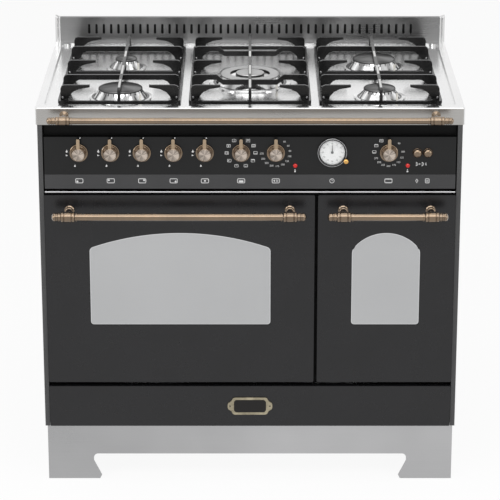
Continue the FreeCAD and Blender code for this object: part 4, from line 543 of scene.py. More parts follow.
# Door handles
# A solid bar turned from brass and plated in old copper-bronze, with stepped caps at its ends. It passes
# through the collars of two turned posts that are screwed through the door panel.
bronze = grained("bronze", (0.168, 0.113, 0.066), 0.2, (120, 6, 6), 0.1, 0.14, cloud_size=14, bump=0.03)
plain(bronze, Coat_Weight=1, Coat_Roughness=0.05, Coat_IOR=1.58)
right_angle = math.pi / 2
FACING = {"up": (0, 0, 0), "right": (0, right_angle, 0), "front": (right_angle, 0, 0), "back": (-right_angle, 0, 0)}
post_inset, collar_half = 0.034, 0.014


def turned(name, profile, place, facing="front", steps=48):
    """A piece turned on a lathe: a ring at its start, drawn out ring by ring to each radius and length."""
    deselect()
    radius, length = profile[0]
    bpy.ops.mesh.primitive_circle_add(vertices=steps, radius=radius, location=(0, 0, length), fill_type="NGON")
    settled(name)
    edit_all("FACE")
    for next_radius, next_length in profile[1:]:
        draw_out((0, 0, next_length - length))
        if next_radius != radius:
            ratio = next_radius / radius
            bpy.ops.transform.resize(value=(ratio, ratio, 1), center_override=(0, 0, next_length))
        radius, length = next_radius, next_length
    bpy.ops.object.mode_set(mode="OBJECT")
    bpy.context.object.rotation_euler = FACING[facing]
    bpy.context.object.location = place
    return settled(name)


def bar_profile(length, posts, radius, collar, cap):
    """Radii and lengths of a bar with stepped caps and a grooved collar at each post, from its left end."""
    end = [(0.0015, 0)] + [(cap * size, place / 1000) for size, place in (
        (0.55, 0.8), (0.85, 2.6), (1, 5.6), (1, 8.6), (0.86, 9.2), (0.86, 10.2), (1.04, 10.8), (1.04, 12.2))]
    end += [(radius * 1.02, 0.013), (radius * 1.02, 0.0134)]
    half = [(radius, 5), (collar * 0.93, 4.79), (collar * 0.93, 3.61), (radius, 3.4), (radius, 1.2),
            (collar * 0.94, 0), (collar, -1.2), (collar, -4.6), (collar * 0.9, -5.6), (collar * 0.9, -6.4),
            (collar, -7.4)]
    collars = [(size, post + side * (collar_half + beyond / 1000))
               for post in posts for side in (-1, 1) for size, beyond in half]
    return end + sorted(collars, key=lambda step: step[1]) + [(size, length - place) for size, place in reversed(end)]


def bar_on_posts(prefix, body, node, wall, radius, collar, cap, post_radius, rose):
    """A turned bar and its two posts, which stand on a wall by their rosettes."""
    low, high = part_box(node)
    y, z = low[1] + collar, (low[2] + high[2]) / 2
    reach = wall - y
    posts = (post_inset, high[0] - low[0] - post_inset)
    bar = turned(prefix + "_bar", bar_profile(high[0] - low[0], posts, radius, collar, cap), (low[0], y, z), "right")
    fit(bar, body, bronze, "bronze", node, smooth=28)
    profile = [(post_radius, 0)] + [(size, reach - back / 1000) for size, back in (
        (post_radius, 13), (post_radius * 1.12, 12.5), (post_radius * 1.12, 11), (post_radius * 0.9, 10.2),
        (post_radius * 0.95, 7.5), (rose * 0.8, 4), (rose, 2.4), (rose, 0))]
    for side, across in zip(("left", "right"), posts):
        post = turned(f"{prefix}_post_{side}", profile, (low[0] + across, y, z), "back", steps=40)
        fit(post, body, bronze, "bronze", node, smooth=28)


for door in ("main", "small"):
    bar_on_posts(door + "_handle", door + "_door", door + "_door_handle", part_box(door + "_door_panel")[0][1],
                 radius=0.0081, collar=0.0115, cap=0.0092, post_radius=0.0074, rose=0.0105)


# Drawer front
# A folded pan in the doors' black enamel, screwed to the drawer box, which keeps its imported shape.
drawer = folded_pan("drawer_outer", "drawer_front")
soften(drawer, panel_bend)
fit(drawer, "drawer", door_enamel, "black_enamel", "drawer_front")


# Badge plate
# A small cast brass plate with an eared outline, a raised rim and a dark sunk field, held by two pins. Its
# field is bare.
badge_metal = grained("badge_metal", (0.36, 0.32, 0.23), 0.36, (70, 70, 300), 0.18, 0.25, cloud_size=60)
badge_field = enamelled("badge_field", (0.006, 0.005, 0.0045), 0.35, peel_size=1800, bump=0.05, shine=0.3)
(x0, y0, z0), (x1, y1, z1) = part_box("badge_plate")
ear, drop, rim_bend, field_half, field_tall, field_bend, sunk = 0.0096, 0.0105, 0.006, 0.0348, 0.0145, 0.0066, 0.0012
badge_z, pin_inset, pin_seat = (z0 + z1) / 2, 0.0052, 0.0014
field_thick, field_seat, plate_bend = 0.0004, 0.0002, 0.0004
outline = [(x0, z0 + drop), (x0 + ear, z0 + drop), (x0 + ear, z0), (x1 - ear, z0), (x1 - ear, z0 + drop),
           (x1, z0 + drop), (x1, z1 - drop), (x1 - ear, z1 - drop), (x1 - ear, z1), (x0 + ear, z1),
           (x0 + ear, z1 - drop), (x0, z1 - drop)]
plate = drawn("badge_rim", [(x, y1, z) for x, z in outline], (0, y0 - y1, 0))
round_edges(plate, 1, rim_bend, 2)


def mm(*pairs):
    """Pairs of millimetres, in metres."""
    return [(a / 1000, b / 1000) for a, b in pairs]


def field_block(name, front, back):
    """A slab of the badge field's outline."""
    slab = block(name, (-field_half, y0 + front, badge_z - field_tall), (field_half, y0 + back, badge_z + field_tall))
    round_edges(slab, 1, field_bend, 6)
    return slab


only(plate)
combine(plate, field_block("badge_cutter", -0.002, sunk))
soften(plate, plate_bend, angle=50)
fit(plate, "drawer", badge_metal, "badge_metal", "badge_plate")
fit(field_block("badge_field", sunk - field_thick, sunk + field_seat), "drawer", badge_field, "badge_metal")
for side, toward in (("left", -1), ("right", 1)):
    pin = turned("badge_pin_" + side, mm((2.1, 0), (2.1, 0.8), (1.7, 1.4), (0.9, 1.8), (0.3, 1.9)),
                 (toward * (x1 - pin_inset), y0 + pin_seat, badge_z), steps=20)
    fit(pin, "drawer", badge_field, "badge_metal")


# Control panel
# A folded steel panel in black enamel: a recessed strip under the hob, the main face and a lighter band along
# its foot. Each spindle, button and lamp passes through a hole of its own.
hob_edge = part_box("hob_tray")[0][1]
wall, band_proud, strip_back, strip_foot, band_head = 0.0015, 0.0008, 0.015, 0.7873, 0.7051
hole_start, hole_long, panel_edge = 0.0025, 0.004, 0.0007
low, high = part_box("control_panel")
strip_y, foot, top, rear = hob_edge + strip_back, low[2], high[2], high[1]
fold = [(rear, top), (rear, top - wall), (strip_y + wall, top - wall), (strip_y + wall, strip_foot - wall),
        (hob_edge + wall, strip_foot - wall), (hob_edge + wall, foot + wall), (rear, foot + wall), (rear, foot),
        (hob_edge - band_proud, foot), (hob_edge - band_proud, band_head), (hob_edge, band_head),
        (hob_edge, strip_foot), (strip_y, strip_foot), (strip_y, top)]
panel = drawn("control_fold", [(low[0], y, z) for y, z in fold], (high[0] - low[0], 0, 0))
face_outward()
knob_nodes = ["gas_knob_left_front", "gas_knob_left_rear", "gas_knob_right_rear", "gas_knob_right_front",
              "gas_knob_centre", "oven_function_knob", "thermostat_knob", "small_oven_knob"]
button_nodes = ["ignition_button", "light_button"]
dish_radius, clock_radius, pilot_radius = 0.0195, 0.031, 0.0046
control_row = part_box(knob_nodes[0])[0][2] + dish_radius


def middle_of(node):
    """The middle of a node's box, across and up."""
    low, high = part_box(node)
    return (low[0] + high[0]) / 2, (low[2] + high[2]) / 2


def second_finish(piece, material, test):
    """Put one more finish on the faces that test picks."""
    piece.data.materials.append(material)
    for face in piece.data.polygons:
        if test(face):
            face.material_index = len(piece.data.materials) - 1


knob_xs, (spark_x, lamp_x) = ([middle_of(node)[0] for node in nodes] for nodes in (knob_nodes, button_nodes))
clock_low, clock_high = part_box("clock_case")
clock_x, clock_z = clock_low[0] + clock_radius, clock_high[2] - clock_radius
low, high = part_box("pilot_lamps")
pilots = [(x, middle_of("pilot_lamps")[1]) for x in (low[0] + pilot_radius, high[0] - pilot_radius)]
holes = [(x, control_row, 0.006) for x in knob_xs] + [(x, control_row, 0.0043) for x in (spark_x, lamp_x)]
holes += [(clock_x, clock_z, 0.028), (*middle_of("clock_set_knob"), 0.0018)] + [(x, z, 0.0037) for x, z in pilots]
for x, z, radius in holes:
    combine(panel, turned("hole_cutter", [(radius, 0), (radius, hole_long)], (x, hob_edge + hole_start, z), steps=24))
soften(panel, panel_edge, segments=3)
panel_enamel = enamelled("panel_enamel", (0.0045, 0.0046, 0.0048), 0.32, peel_size=820, smudge=0.2, mottle=0.12,
                         bump=0.02, shine=0.3)
band_enamel = enamelled("band_enamel", (0.03, 0.03, 0.0315), 0.4, peel_size=760)
# The recessed strip's near-black colour is painted shade, standing in for the shadow under the hob's overhang.
strip_painted_shade = enamelled("strip_painted_shade", (0.002, 0.002, 0.002), 0.45, peel_size=760, shine=0.12)
fit(panel, "cooker", panel_enamel, "black_enamel", "control_panel")
band_front = hob_edge - band_proud * 0.4
second_finish(panel, band_enamel, lambda face: face.center.y < band_front)
# The recessed strip's faces get the painted shade.
second_finish(panel, strip_painted_shade, lambda face: face.center.y >= band_front and face.center.z > strip_foot - wall)


# Panel markings
# Symbols and numbers are screen printed in white enamel round each knob, on the band and under the lamps. Each
# print is a tenth of a millimetre thick, and the sizes of the marks are in millimetres.
print_white = enamelled("print_white", (0.62, 0.62, 0.62), 0.45, peel_size=2500, smudge=0.1, mottle=0.08, bump=0.02)
print_thick = 0.0001
marks = []


def rounded(radius, steps=12):
    """The corners of a round mark."""
    return [(radius * math.cos(math.tau * n / steps), radius * math.sin(math.tau * n / steps)) for n in range(steps)]


def oblong(wide, tall):
    """The corners of an oblong mark."""
    return [(wide * x, tall * z) for x, z in ((-0.5, -0.5), (0.5, -0.5), (0.5, 0.5), (-0.5, 0.5))]


def flame(wide, tall):
    """The corners of a flame."""
    return [(wide * x, tall * z) for x, z in (
        (0, -0.5), (0.28, -0.42), (0.4, -0.15), (0.3, 0.08), (0.12, 0.2), (0.08, 0.5), (-0.12, 0.28), (-0.16, 0.05),
        (-0.38, -0.02), (-0.4, -0.25), (-0.26, -0.44))]


def flat_mark(x, z, corners, shift=(0, 0), line=0, bend=0, y=hob_edge - print_thick):
    """A printed shape, filled or drawn as an outline, shifted from a place on the panel."""
    places = [(x + (shift[0] + across) / 1000, y, z + (shift[1] + up) / 1000) for across, up in corners]
    marks.append(drawn("print", places))
    if bend:
        bpy.ops.mesh.bevel(offset=bend / 1000, segments=3, affect="VERTICES")
    edit_all("FACE")
    opened(line / 1000)
    draw_out((0, print_thick * 1.5, 0))
    bpy.ops.object.mode_set(mode="OBJECT")
    return marks[-1]


def twin(piece, name, across):
    """A copy of a finished mesh, moved sideways and with a mesh of its own."""
    only(piece)
    bpy.ops.object.duplicate()
    bpy.context.object.location = (across, 0, 0)
    return settled(name)


def joined(pieces, name):
    """Several meshes made one."""
    only(pieces[0])
    for piece in pieces:
        piece.select_set(True)
    bpy.ops.object.join()
    pieces[0].name = name
    return pieces[0]


def around(x, z, angle, reach):
    """A place round a knob, its angle in degrees clockwise from the top."""
    return x + reach * math.sin(math.radians(angle)), z + reach * math.cos(math.radians(angle))


def number(x, z, text, size=0.0056, y=hob_edge):
    """A printed number, set upright on the panel."""
    deselect()
    bpy.ops.object.text_add()
    letters = bpy.context.object.data
    letters.body, letters.size, letters.resolution_u, letters.extrude = text, size, 2, print_thick
    letters.align_x, letters.align_y = "CENTER", "CENTER"
    bpy.ops.object.convert(target="MESH")
    bpy.context.object.rotation_euler = FACING["front"]
    bpy.context.object.location = (x, y, z)
    marks.append(settled("print"))


first_x, other_xs = knob_xs[0], knob_xs[1:]
gas_prints = [flat_mark(first_x, control_row, corners, shift) for corners, shift in (
    (rounded(1.5), (3.2, 31.8)), (flame(5.6, 7.2), (-25.2, 3.6)),
    (((-2.2, -1.9), (2.6, 0), (-2.2, 1.9)), (-25.2, -6)), (flame(4.8, 5.8), (-8.5, -28.2)))]
marks += [twin(piece, "print", x - first_x) for x in other_xs[:4] for piece in gas_prints]

band_y, band_row = hob_edge - band_proud - print_thick, 0.6915
band_frame = flat_mark(first_x, band_row, oblong(16.6, 10.4), line=1.3, bend=2.6, y=band_y)
marks += [twin(band_frame, "print", x - first_x) for x in other_xs]
function_x, thermostat_x, small_x = knob_xs[5:]
burner_dots = ((-4.1, -1.4), (-4.1, 1.4), (4.1, 1.4), (4.1, -1.4), (0, 0))
band_marks = [(x, rounded(2.1), shift) for x, shift in zip(knob_xs, burner_dots)] + [
    (function_x, oblong(9.8, 4.2), (0, -1.2), 0, 1.2), (thermostat_x, ((1.6, -2.4), (1.6, 2.4), (-2.6, 0)), (-3.4, 0)),
    (thermostat_x, rounded(2.2), (2.6, 0), 0.8), (small_x, oblong(13.8, 1.6), (0, 3.6)),
    (small_x, oblong(13.8, 1.6), (0, -3.6)), (clock_x, rounded(5.2, 20), (0, 0), 1.1),
    (clock_x, oblong(0.9, 3.4), (0, 1.7)), (clock_x, oblong(2.2, 0.9), (1.1, 0)),
    (spark_x, ((0, -4.8), (3.2, 0), (0, 4.8), (-3.2, 0)), (0, 0), 1.1), (lamp_x, oblong(9.2, 10.4), (0, 0), 1.2, 2),
    (lamp_x, oblong(4.8, 1.1), (0, 1.2)), (lamp_x, oblong(4.8, 1.1), (0, -1.8))]
for x, *mark in band_marks:
    flat_mark(x, band_row, *mark, y=band_y)

function_fills = {  # the angle of each cooking symbol, and the place and size of each bar inside its frame
    29: [(0, 0, 4.4, 0.7), (0, 1.4, 4.4, 0.7)], 60: [(0, 1.6, 6.2, 1.2), (0, -1.2, 6.2, 1)], 91: [(0, -1.4, 6, 1)],
    125: [(0, 1.6, 6.2, 1.6)], 161: [(0, -1, 4.4, 0.8)], -161: [(0, 1.2, 4.4, 0.8)], -125: [(-1.4, 0, 2.2, 2)],
    -91: [(-1.7, 0, 1.6, 2.6), (1.7, 0, 1.6, 2.6)], -60: [(0, 1.4, 5.8, 0.8), (0, 0, 1.6, 4.2)], -29: [(0, 0, 1, 4.4)],
}
small_fills = {-87: [(0, -1.6, 6, 0.9)], -60: [(0, 1.6, 6, 0.9)], -32: [(0, 0, 6, 0.9)]}
for knob_x, reach, tall, fills in ((function_x, 0.0302, 6.6, function_fills), (small_x, 0.0308, 6.2, small_fills)):
    for angle, bars in fills.items():
        place = around(knob_x, control_row, angle, reach)
        flat_mark(*place, oblong(8.4, tall), line=0.8, bend=1.2)
        for across, up, wide, high_bar in bars:
            flat_mark(*place, oblong(wide, high_bar), (across, up))
for n, text in enumerate(("50", "60", "80", "100", "125", "150", "175", "200", "225", "250", "275")):
    number(*around(thermostat_x, control_row, 37 + 22.9 * n, 0.0298), text)
for angle, text in ((46, "50"), (86, "100"), (112, "125"), (136, "150"), (158, "175"), (181, "200"), (204, "225"),
                    (224, "250"), (245, "275")):
    number(*around(small_x, control_row, angle, 0.0293), text)
for place in pilots:
    flat_mark(*place, oblong(1.4, 4.2), (-0.4, -9.8))
    flat_mark(*place, rounded(1.9), (-0.4, -12.6))
button_marks = (
    (((-1.8, -5), (2.6, -1.4), (2.6, 1.4), (-1.8, 5)), -0.5, 0.9),
    (((0, -2), (0.7, -0.7), (2, 0), (0.7, 0.7), (0, 2), (-0.7, 0.7), (-2, 0), (-0.7, -0.7)), 5.6, 0),
    (((-1.8, -5), (1.8, -2), (2.6, 0), (1.8, 2), (-1.8, 5)), 11.8, 0.9), (oblong(1.4, 6), 18.5, 0))
for corners, across, line in button_marks:
    flat_mark(spark_x, control_row, corners, (across, -24.8), line)
fit(joined(marks, "panel_prints"), "cooker", print_white, "black_enamel")


# Trim strip
# A bright drawn strip of chromed steel, pressed into the gap between the panel and the doors.
trim_round = 0.0009
low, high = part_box("trim_strip")
trim = block("trim_bar", low, high)
round_edges(trim, 0, trim_round, 4, lambda edge: near(middle(edge).y, low[1]))
trim_chrome = grained("trim_chrome", (0.5, 0.5, 0.51), 0.16, (4, 400, 400), 0.04, 0.06, cloud_size=12)
fit(trim, "cooker", trim_chrome, "trim_chrome", "trim_strip")


# Control knobs
# Turned brass plated in copper-bronze. A dish and a hub are turned in one with the spindle, the hub's face is brushed
# outward from its centre with painted reflections in broad wedges, and a flat lever, its paler bronze a painted
# highlight, is pinned to the hub's rim.
rays, given, made = effect("Turned rays with painted wedges", Wedges=1.5, Dark=0.66, Bright=1.42, Groove=9.0)
face_map = add_node(rays, "UVMap", uv_map="face").outputs[0]
parts = add_node(rays, "SeparateXYZ", {0: face_map}).outputs
turn = calc(rays, "ARCTAN2", parts["Y"], parts["X"])
wheel = add_node(rays, "CombineXYZ", {0: calc(rays, "COSINE", turn), 1: calc(rays, "SINE", turn)}).outputs[0]
# Broad dark and bright wedges round the axis are painted reflections, standing in for spun metal's radial highlights
# and the bars it reflects.
reflection_wedges = ranged(rays, noise(rays, given["Wedges"], 1.0, vector=wheel), 0.38, 0.62, given["Dark"], given["Bright"])
# Fine radial scratches are the real brushing.
scratches = noise(rays, 26.0, 3.0, vector=wheel)
fine = ranged(rays, scratches, 0.3, 0.7, 0.9, 1.1)
reach = add_node(rays, "VectorMath", {0: face_map}, operation="LENGTH").outputs["Value"]
# A thin dark ring at the Groove radius is painted shade of a groove.
groove_shade = ranged(rays, calc(rays, "COMPARE", reach, given["Groove"], 0.04), 0.0, 1.0, 1.0, 0.06)
shade = calc(rays, "MULTIPLY", calc(rays, "MULTIPLY", reflection_wedges, fine), groove_shade)
close(rays, made, scaled(rays, given["Color"], shade), calc(rays, "MULTIPLY", fine, given["Roughness"]), scratches)


def rayed(name, colour, roughness, wedges=1.5, dark=0.66, bright=1.42, groove=9.0):
    """Metal brushed outward from the middle of its own flat map, with dark and bright wedges that are painted
    reflections.
    """
    return dressed(name, colour, 1, roughness, rays, (0.12, 0.0005), Wedges=wedges, Dark=dark, Bright=bright,
                   Groove=groove)


def on_panel(name, profile, x, z, steps):
    """A piece turned about a line through the panel's face, its profile in millimetres."""
    return turned(name, mm(*profile), (x, hob_edge, z), steps=steps)


knob_face = rayed("knob_face", (0.4, 0.345, 0.3), 0.26)
# The lever's bronze is a lighter copy of the knob bronze: a painted highlight for the light its rounded top catches.
lever_lit_bronze = grained("lever_lit_bronze", (0.38, 0.29, 0.2), 0.22, (120, 6, 6), 0.08, 0.1, cloud_size=30, bump=0.03)
lever_half, lever_foot, lever_tip, lever_rear, lever_front = 0.0036, 0.0098, 0.034, 0.0128, 0.0205
lever_corner, lever_bend, lever_taper, face_start = 0.0017, 0.0015, (1.12, 0.8, 1), 0.0205
face_front = hob_edge - face_start
knob_turning = on_panel("knob_turning", (
    (3.6, -33.5), (4, -33), (4, 1), (17.6, 1), (19, 1.3), (19.5, 2.1), (19.5, 3.2), (19, 4.2), (17.8, 4.7),
    (16.4, 4.5), (15.2, 4.4), (14.4, 5.2), (13.8, 6.6), (13.4, 9.2), (13.3, 18), (13.7, 19.4), (13.6, 20.6),
    (12.9, 21.6), (11.9, 21.9), (11.4, 21.6), (4, 21.2), (0.6, 21.1)), first_x, control_row, 56)
lever = block("knob_lever", (first_x - lever_half, hob_edge - lever_front, control_row + lever_foot),
              (first_x + lever_half, hob_edge - lever_rear, control_row + lever_tip))
round_edges(lever, 1, lever_corner, 4, lambda edge: middle(edge).z > control_row + lever_foot + 0.001)
choose(lever, "FACE", lambda face: face.normal.z > 0.9)
bpy.ops.transform.resize(value=lever_taper)
soften(lever, lever_bend, segments=4)

for node, x in zip(knob_nodes, knob_xs):
    turning = fit(twin(knob_turning, node + "_turning", x - first_x), node, bronze, "bronze", node, smooth=28)
    plan = turning.data.uv_layers.new(name="face")
    for corner in turning.data.loops:
        place = turning.data.vertices[corner.vertex_index].co
        plan.data[corner.index].uv = ((place.x - x) / dish_radius, (place.z - control_row) / dish_radius)
    second_finish(turning, knob_face, lambda face: face.center.y < face_front and face.normal.y < -0.9)
    # Each lever gets the lighter bronze of the painted highlight.
    fit(twin(lever, node + "_lever", x - first_x), node, lever_lit_bronze, "bronze", node)
for piece in (knob_turning, lever):
    bpy.data.objects.remove(piece)


# Ignition and light buttons
# Domed bronze caps on stems, each inside a turned collar that is clamped to the panel.
def ring_shaped(piece):
    """Open a turned piece's two ends and join them, so that it becomes a ring."""
    take_faces(piece, lambda face: len(face.verts) > 4)
    choose(piece, "EDGE", lambda edge: edge.is_boundary)
    bpy.ops.mesh.bridge_edge_loops()
    return piece


def on_stem(node, stem, *head):
    """A profile with a stem from the back of a node's box and a head measured back from its front."""
    low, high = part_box(node)
    front = (hob_edge - low[1]) * 1000
    return [(stem, (hob_edge - high[1]) * 1000)] + [(radius, front - back) for radius, back in head]


for node, x in zip(button_nodes, (spark_x, lamp_x)):
    cap = on_panel(node + "_cap", on_stem(node, 3.8, (3.9, 6.2), (7.8, 6), (8.2, 5.2), (8.2, 3.2), (7.6, 2.2),
                                          (6.6, 1.8), (6.2, 1.4), (5.2, 0.6), (3.4, 0.1), (0.8, 0)), x, control_row, 40)
    fit(cap, node, bronze, "bronze", node, smooth=30)
    collar = on_panel(node + "_collar", ((8.4, 0), (10.1, 0.2), (10.5, 1), (10.4, 2.2), (9.8, 3.4), (9.3, 3.8),
                                         (8.7, 3.4), (8.6, 0.6), (8.5, 0.2)), x, control_row, 40)
    fit(ring_shaped(collar), "cooker", bronze, "bronze", smooth=30)


# Pilot lamps
# Two red lenses moulded in clear acrylic, over lamps clipped behind the panel.
lens_red = (0.6, 0.012, 0.008)
pilot_red = finish_named("pilot_red", lens_red, 0, 0.12)
tree = pilot_red.node_tree
cells = add_node(tree, "TexVoronoi", {"Vector": local(tree), "Scale": 900.0}).outputs["Distance"]
feed(pilot_red, scaled(tree, lens_red, ranged(tree, cells, 0.0, 0.7, 1.15, 0.8)), height=cells, strength=0.15,
     depth=0.0004)
for side, (x, z) in zip(("left", "right"), pilots):
    lens = on_panel("pilot_lens_" + side, ((3.4, -17), (3.5, 0), (4.5, 0.1), (4.6, 0.8), (4.3, 1.7), (3.5, 2.4),
                                           (2.2, 2.8), (0.5, 2.9)), x, z, 32)
    fit(lens, "cooker", pilot_red, "pilot_red", "pilot_lamps", smooth=50)


# Clock
# A mechanical timer clock: a black turned case with a thin bright ring, a white dial printed with minutes and
# numbers, a flat glass, and a movement block behind the panel.
clock_black = enamelled("clock_black", (0.012, 0.012, 0.013), 0.28, peel_size=1400, bump=0.02)
dial_white = enamelled("dial_white", (0.82, 0.82, 0.82), 0.5, peel_size=1600, smudge=0.1, mottle=0.03, bump=0.04)
hand_paint = enamelled("hand_paint", (0.01, 0.01, 0.01), 0.35, peel_size=2200)
case_ring = on_panel("clock_case_ring", ((27.2, 0), (30.6, 0.1), (30.9, 0.8), (30.8, 3), (30, 5.2), (28.4, 6.4),
                                         (27.6, 6.6), (27.2, 6.2), (27.1, 0.2)), clock_x, clock_z, 72)
fit(ring_shaped(case_ring), "cooker", clock_black, "clock_black", "clock_case", smooth=30)
bright_ring = on_panel("clock_bright_ring", ((29.6, 4.6), (31, 4.8), (31, 5.4), (30.5, 6.2), (29.8, 6.2), (29.4, 5.6)),
                       clock_x, clock_z, 72)
fit(ring_shaped(bright_ring), "cooker", trim_chrome, "trim_chrome", smooth=30)
dial = on_panel("clock_dial", ((26.2, 0.2), (26.4, 0.6), (26.4, 1.1), (26.2, 1.3), (1.6, 1.35)), clock_x, clock_z, 72)
fit(dial, "cooker", dial_white, "clock_black", "clock_case")
marks, dial_y = [], hob_edge - 0.00145
minute_ring, hour_ring, number_ring, number_size = 0.0244, 0.0241, 0.0196, 0.0044
for n in range(60):
    if n % 5:
        flat_mark(*around(clock_x, clock_z, 6 * n, minute_ring), rounded(0.28, 6), y=dial_y)
for n in range(12):
    flat_mark(*around(clock_x, clock_z, 30 * n, hour_ring), rounded(0.6, 8), y=dial_y)
    number(*around(clock_x, clock_z, 30 * n, number_ring), str(n * 5 or 60), size=number_size, y=dial_y)
fit(joined(marks, "dial_prints"), "cooker", hand_paint, "clock_black")
movement_front, movement_corner, movement_bend = 0.002, 0.004, 0.0005
movement = block("clock_movement", (clock_low[0], hob_edge + movement_front, clock_low[2]), clock_high)
round_edges(movement, 1, movement_corner, 3)
soften(movement, movement_bend)
fit(movement, "cooker", clock_black, "clock_black", "clock_case")
dial_glass = enamelled("dial_glass", (0.9, 0.92, 0.92), 0.04, peel_size=200, smudge=0.3, bump=0.002)
plain(dial_glass, Alpha=0.1)
watch_glass = on_panel("clock_glass", ((26.6, 4.8), (26.7, 5.2), (26.6, 6.1), (26.2, 6.3), (2, 6.4)), clock_x,
                       clock_z, 72)
fit(watch_glass, "cooker", dial_glass, "door_glass", "clock_case")
give(hand_paint, "clock_hour_hand", "clock_minute_hand")
set_brass = grained("set_brass", (0.62, 0.36, 0.12), 0.22, (300, 20, 300), 0.1, 0.1, cloud_size=60)
set_profile = on_stem("clock_set_knob", 1.4, (1.5, 6.1), (3, 6), (4.9, 5.3), (5.5, 4.2), (5.6, 3), (5.3, 1.6),
                      (4.2, 0.6), (2.6, 0.1), (0.5, 0))
set_knob = on_panel("clock_set_turning", set_profile, *middle_of("clock_set_knob"), 32)
fit(set_knob, "clock_set_knob", set_brass, "bronze", "clock_set_knob", smooth=40)


# Gas manifold and switches
# A drawn gas rail with a tap and a bent burner tube behind each knob, and moulded switches behind the rest.
give(grained("gas_metal", (0.5, 0.36, 0.16), 0.34, (60, 60, 60), 0.14, 0.18, cloud_size=20), "gas_manifold")
give(enamelled("switch_plastic", (0.05, 0.05, 0.055), 0.5, peel_size=1300, bump=0.08), "control_switches")


# Hob top
# One pressing of polished stainless steel: a rolled front fascia, a raised rim all round, and a shallow recess
# with wide corners under the burners.
hob_steel = grained("hob_steel", (0.82, 0.82, 0.82), 0.2, (5, 900, 900), 0.03, 0.04, cloud_size=3.5, bump=0.008)
# A darker copy of the hob's steel for the front fascia: painted shade for a face turned forward and down.
fascia_shaded_steel = grained("fascia_shaded_steel", (0.42, 0.41, 0.395), 0.28, (5, 900, 900), 0.04, 0.1, cloud_size=2.5, bump=0.012)
low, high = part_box("hob_tray")
hob_sheet, hob_corner, hob_roll, rim_bend = 0.0012, 0.006, 0.0025, 0.0009
rim_wide, rear_rim, recess_deep, recess_corner = 0.017, 0.029, 0.006, 0.022
hob = block("hob_pressing", low, high)
round_edges(hob, 2, hob_corner, 5)
take_faces(hob, lambda face: face.normal.z < -0.9)
soften(hob, hob_roll, segments=4)
apply_modifier(hob, "SOLIDIFY", thickness=hob_sheet, offset=-1)
floor_z = high[2] - recess_deep


def recess(name, grow, foot, top):
    """A slab of the recess's outline, grown by the sheet where it is to be a floor."""
    slab = block(name, (low[0] + rim_wide - grow, low[1] + rim_wide - grow, foot),
                 (high[0] - rim_wide + grow, high[1] - rear_rim + grow, top))
    round_edges(slab, 2, recess_corner + grow, 10)
    return slab


well = recess("recess_cutter", 0, floor_z, high[2] + 0.01)
only(well)
combine(hob, well)
bottom = recess("recess_floor", hob_sheet, floor_z - hob_sheet, high[2] - rim_bend)
choose(bottom, "FACE", lambda face: face.normal.z > 0.9)
bpy.ops.mesh.inset(thickness=hob_sheet)
draw_out((0, 0, floor_z - high[2] + rim_bend))
only(bottom)
combine(hob, bottom, "UNION")
soften(hob, rim_bend, segments=3, angle=50)
fit(hob, "cooker", hob_steel, "hob_steel", "hob_tray", smooth=40)
# The fascia's faces get the painted shade.
second_finish(hob, fascia_shaded_steel, lambda face: face.normal.y < -0.7 and face.center.y < low[1] + 0.001)


# Burners
# Pressed and chromed skirts with milled gas ports stand on bright dishes; enamelled caps lie loose on top. The
# centre burner has a flat ring round an inner cap. A ceramic electrode stands beside each.
# Broad wedges on skirts, dishes and caps are painted reflections: the skirts' near-black wedges for reflected
# pan-support bars, the caps' light and dark sides for sheen; the dish's dark ring is painted groove shade.
burner_chrome = rayed("burner_chrome", (0.78, 0.78, 0.78), 0.12, wedges=1.4, dark=0.06, bright=1.15)
dish_chrome = rayed("dish_chrome", (0.66, 0.66, 0.66), 0.14, wedges=1.3, dark=0.6, bright=1.3, groove=1.04)
# A near-black for the caps' upright edges: painted shadow of the gap under each cap.
cap_rim_shadow = enamelled("cap_rim_shadow", (0.01, 0.01, 0.01), 0.5, bump=0.05, shine=0.3)
cap_satin = rayed("cap_satin", (0.1, 0.1, 0.1), 0.34, wedges=0.9, dark=0.55, bright=1.7)
ring_satin = grained("ring_satin", (0.42, 0.42, 0.42), 0.34, (160, 160, 160), 0.08, 0.1, cloud_size=40)
give(enamelled("ceramic", (0.7, 0.68, 0.63), 0.3, mottle=0.08), "spark_electrodes")
cap_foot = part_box("burner_caps")[0][2]
burners = {  # place across, place back from the hob's edge, and the cap's radius
    "left_front": (-0.27583, 0.110, 0.047), "left_rear": (-0.27583, 0.368, 0.0245),
    "right_rear": (0.27583, 0.368, 0.047), "right_front": (0.27583, 0.110, 0.034),
}
centre_back, skirt_flare, centre_skirt, ring_outer, ring_inner, inner_cap = 0.233, 0.01, 0.074, 0.064, 0.043, 0.031
axes = [(x, hob_edge + back, radius + skirt_flare) for x, back, radius in burners.values()]
axes.append((0, hob_edge + centre_back, centre_skirt))


def merged_copy(node, name):
    """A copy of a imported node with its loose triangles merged."""
    only(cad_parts[node])
    bpy.ops.object.duplicate()
    copy = bpy.context.object
    copy.data = copy.data.copy()
    copy.name = name
    copy.parent = None
    edit_all("VERT")
    bpy.ops.mesh.remove_doubles(threshold=0.00002)
    bpy.ops.mesh.customdata_custom_splitnormals_clear()
    bpy.ops.mesh.tris_convert_to_quads(face_threshold=math.radians(1), shape_threshold=math.radians(60))
    bpy.ops.object.mode_set(mode="OBJECT")
    return copy


def plan_mapped(piece):
    """A flat map seen from above: each face's place round its own burner, a whole unit to the skirt's foot."""
    plan = piece.data.uv_layers.new(name="face")
    for face in piece.data.polygons:
        x, y, unit = min(axes, key=lambda axis: math.hypot(face.center.x - axis[0], face.center.y - axis[1]))
        for corner in face.loop_indices:
            place = piece.data.vertices[piece.data.loops[corner].vertex_index].co
            plan.data[corner].uv = ((x - place.x) / unit, (y - place.y) / unit)


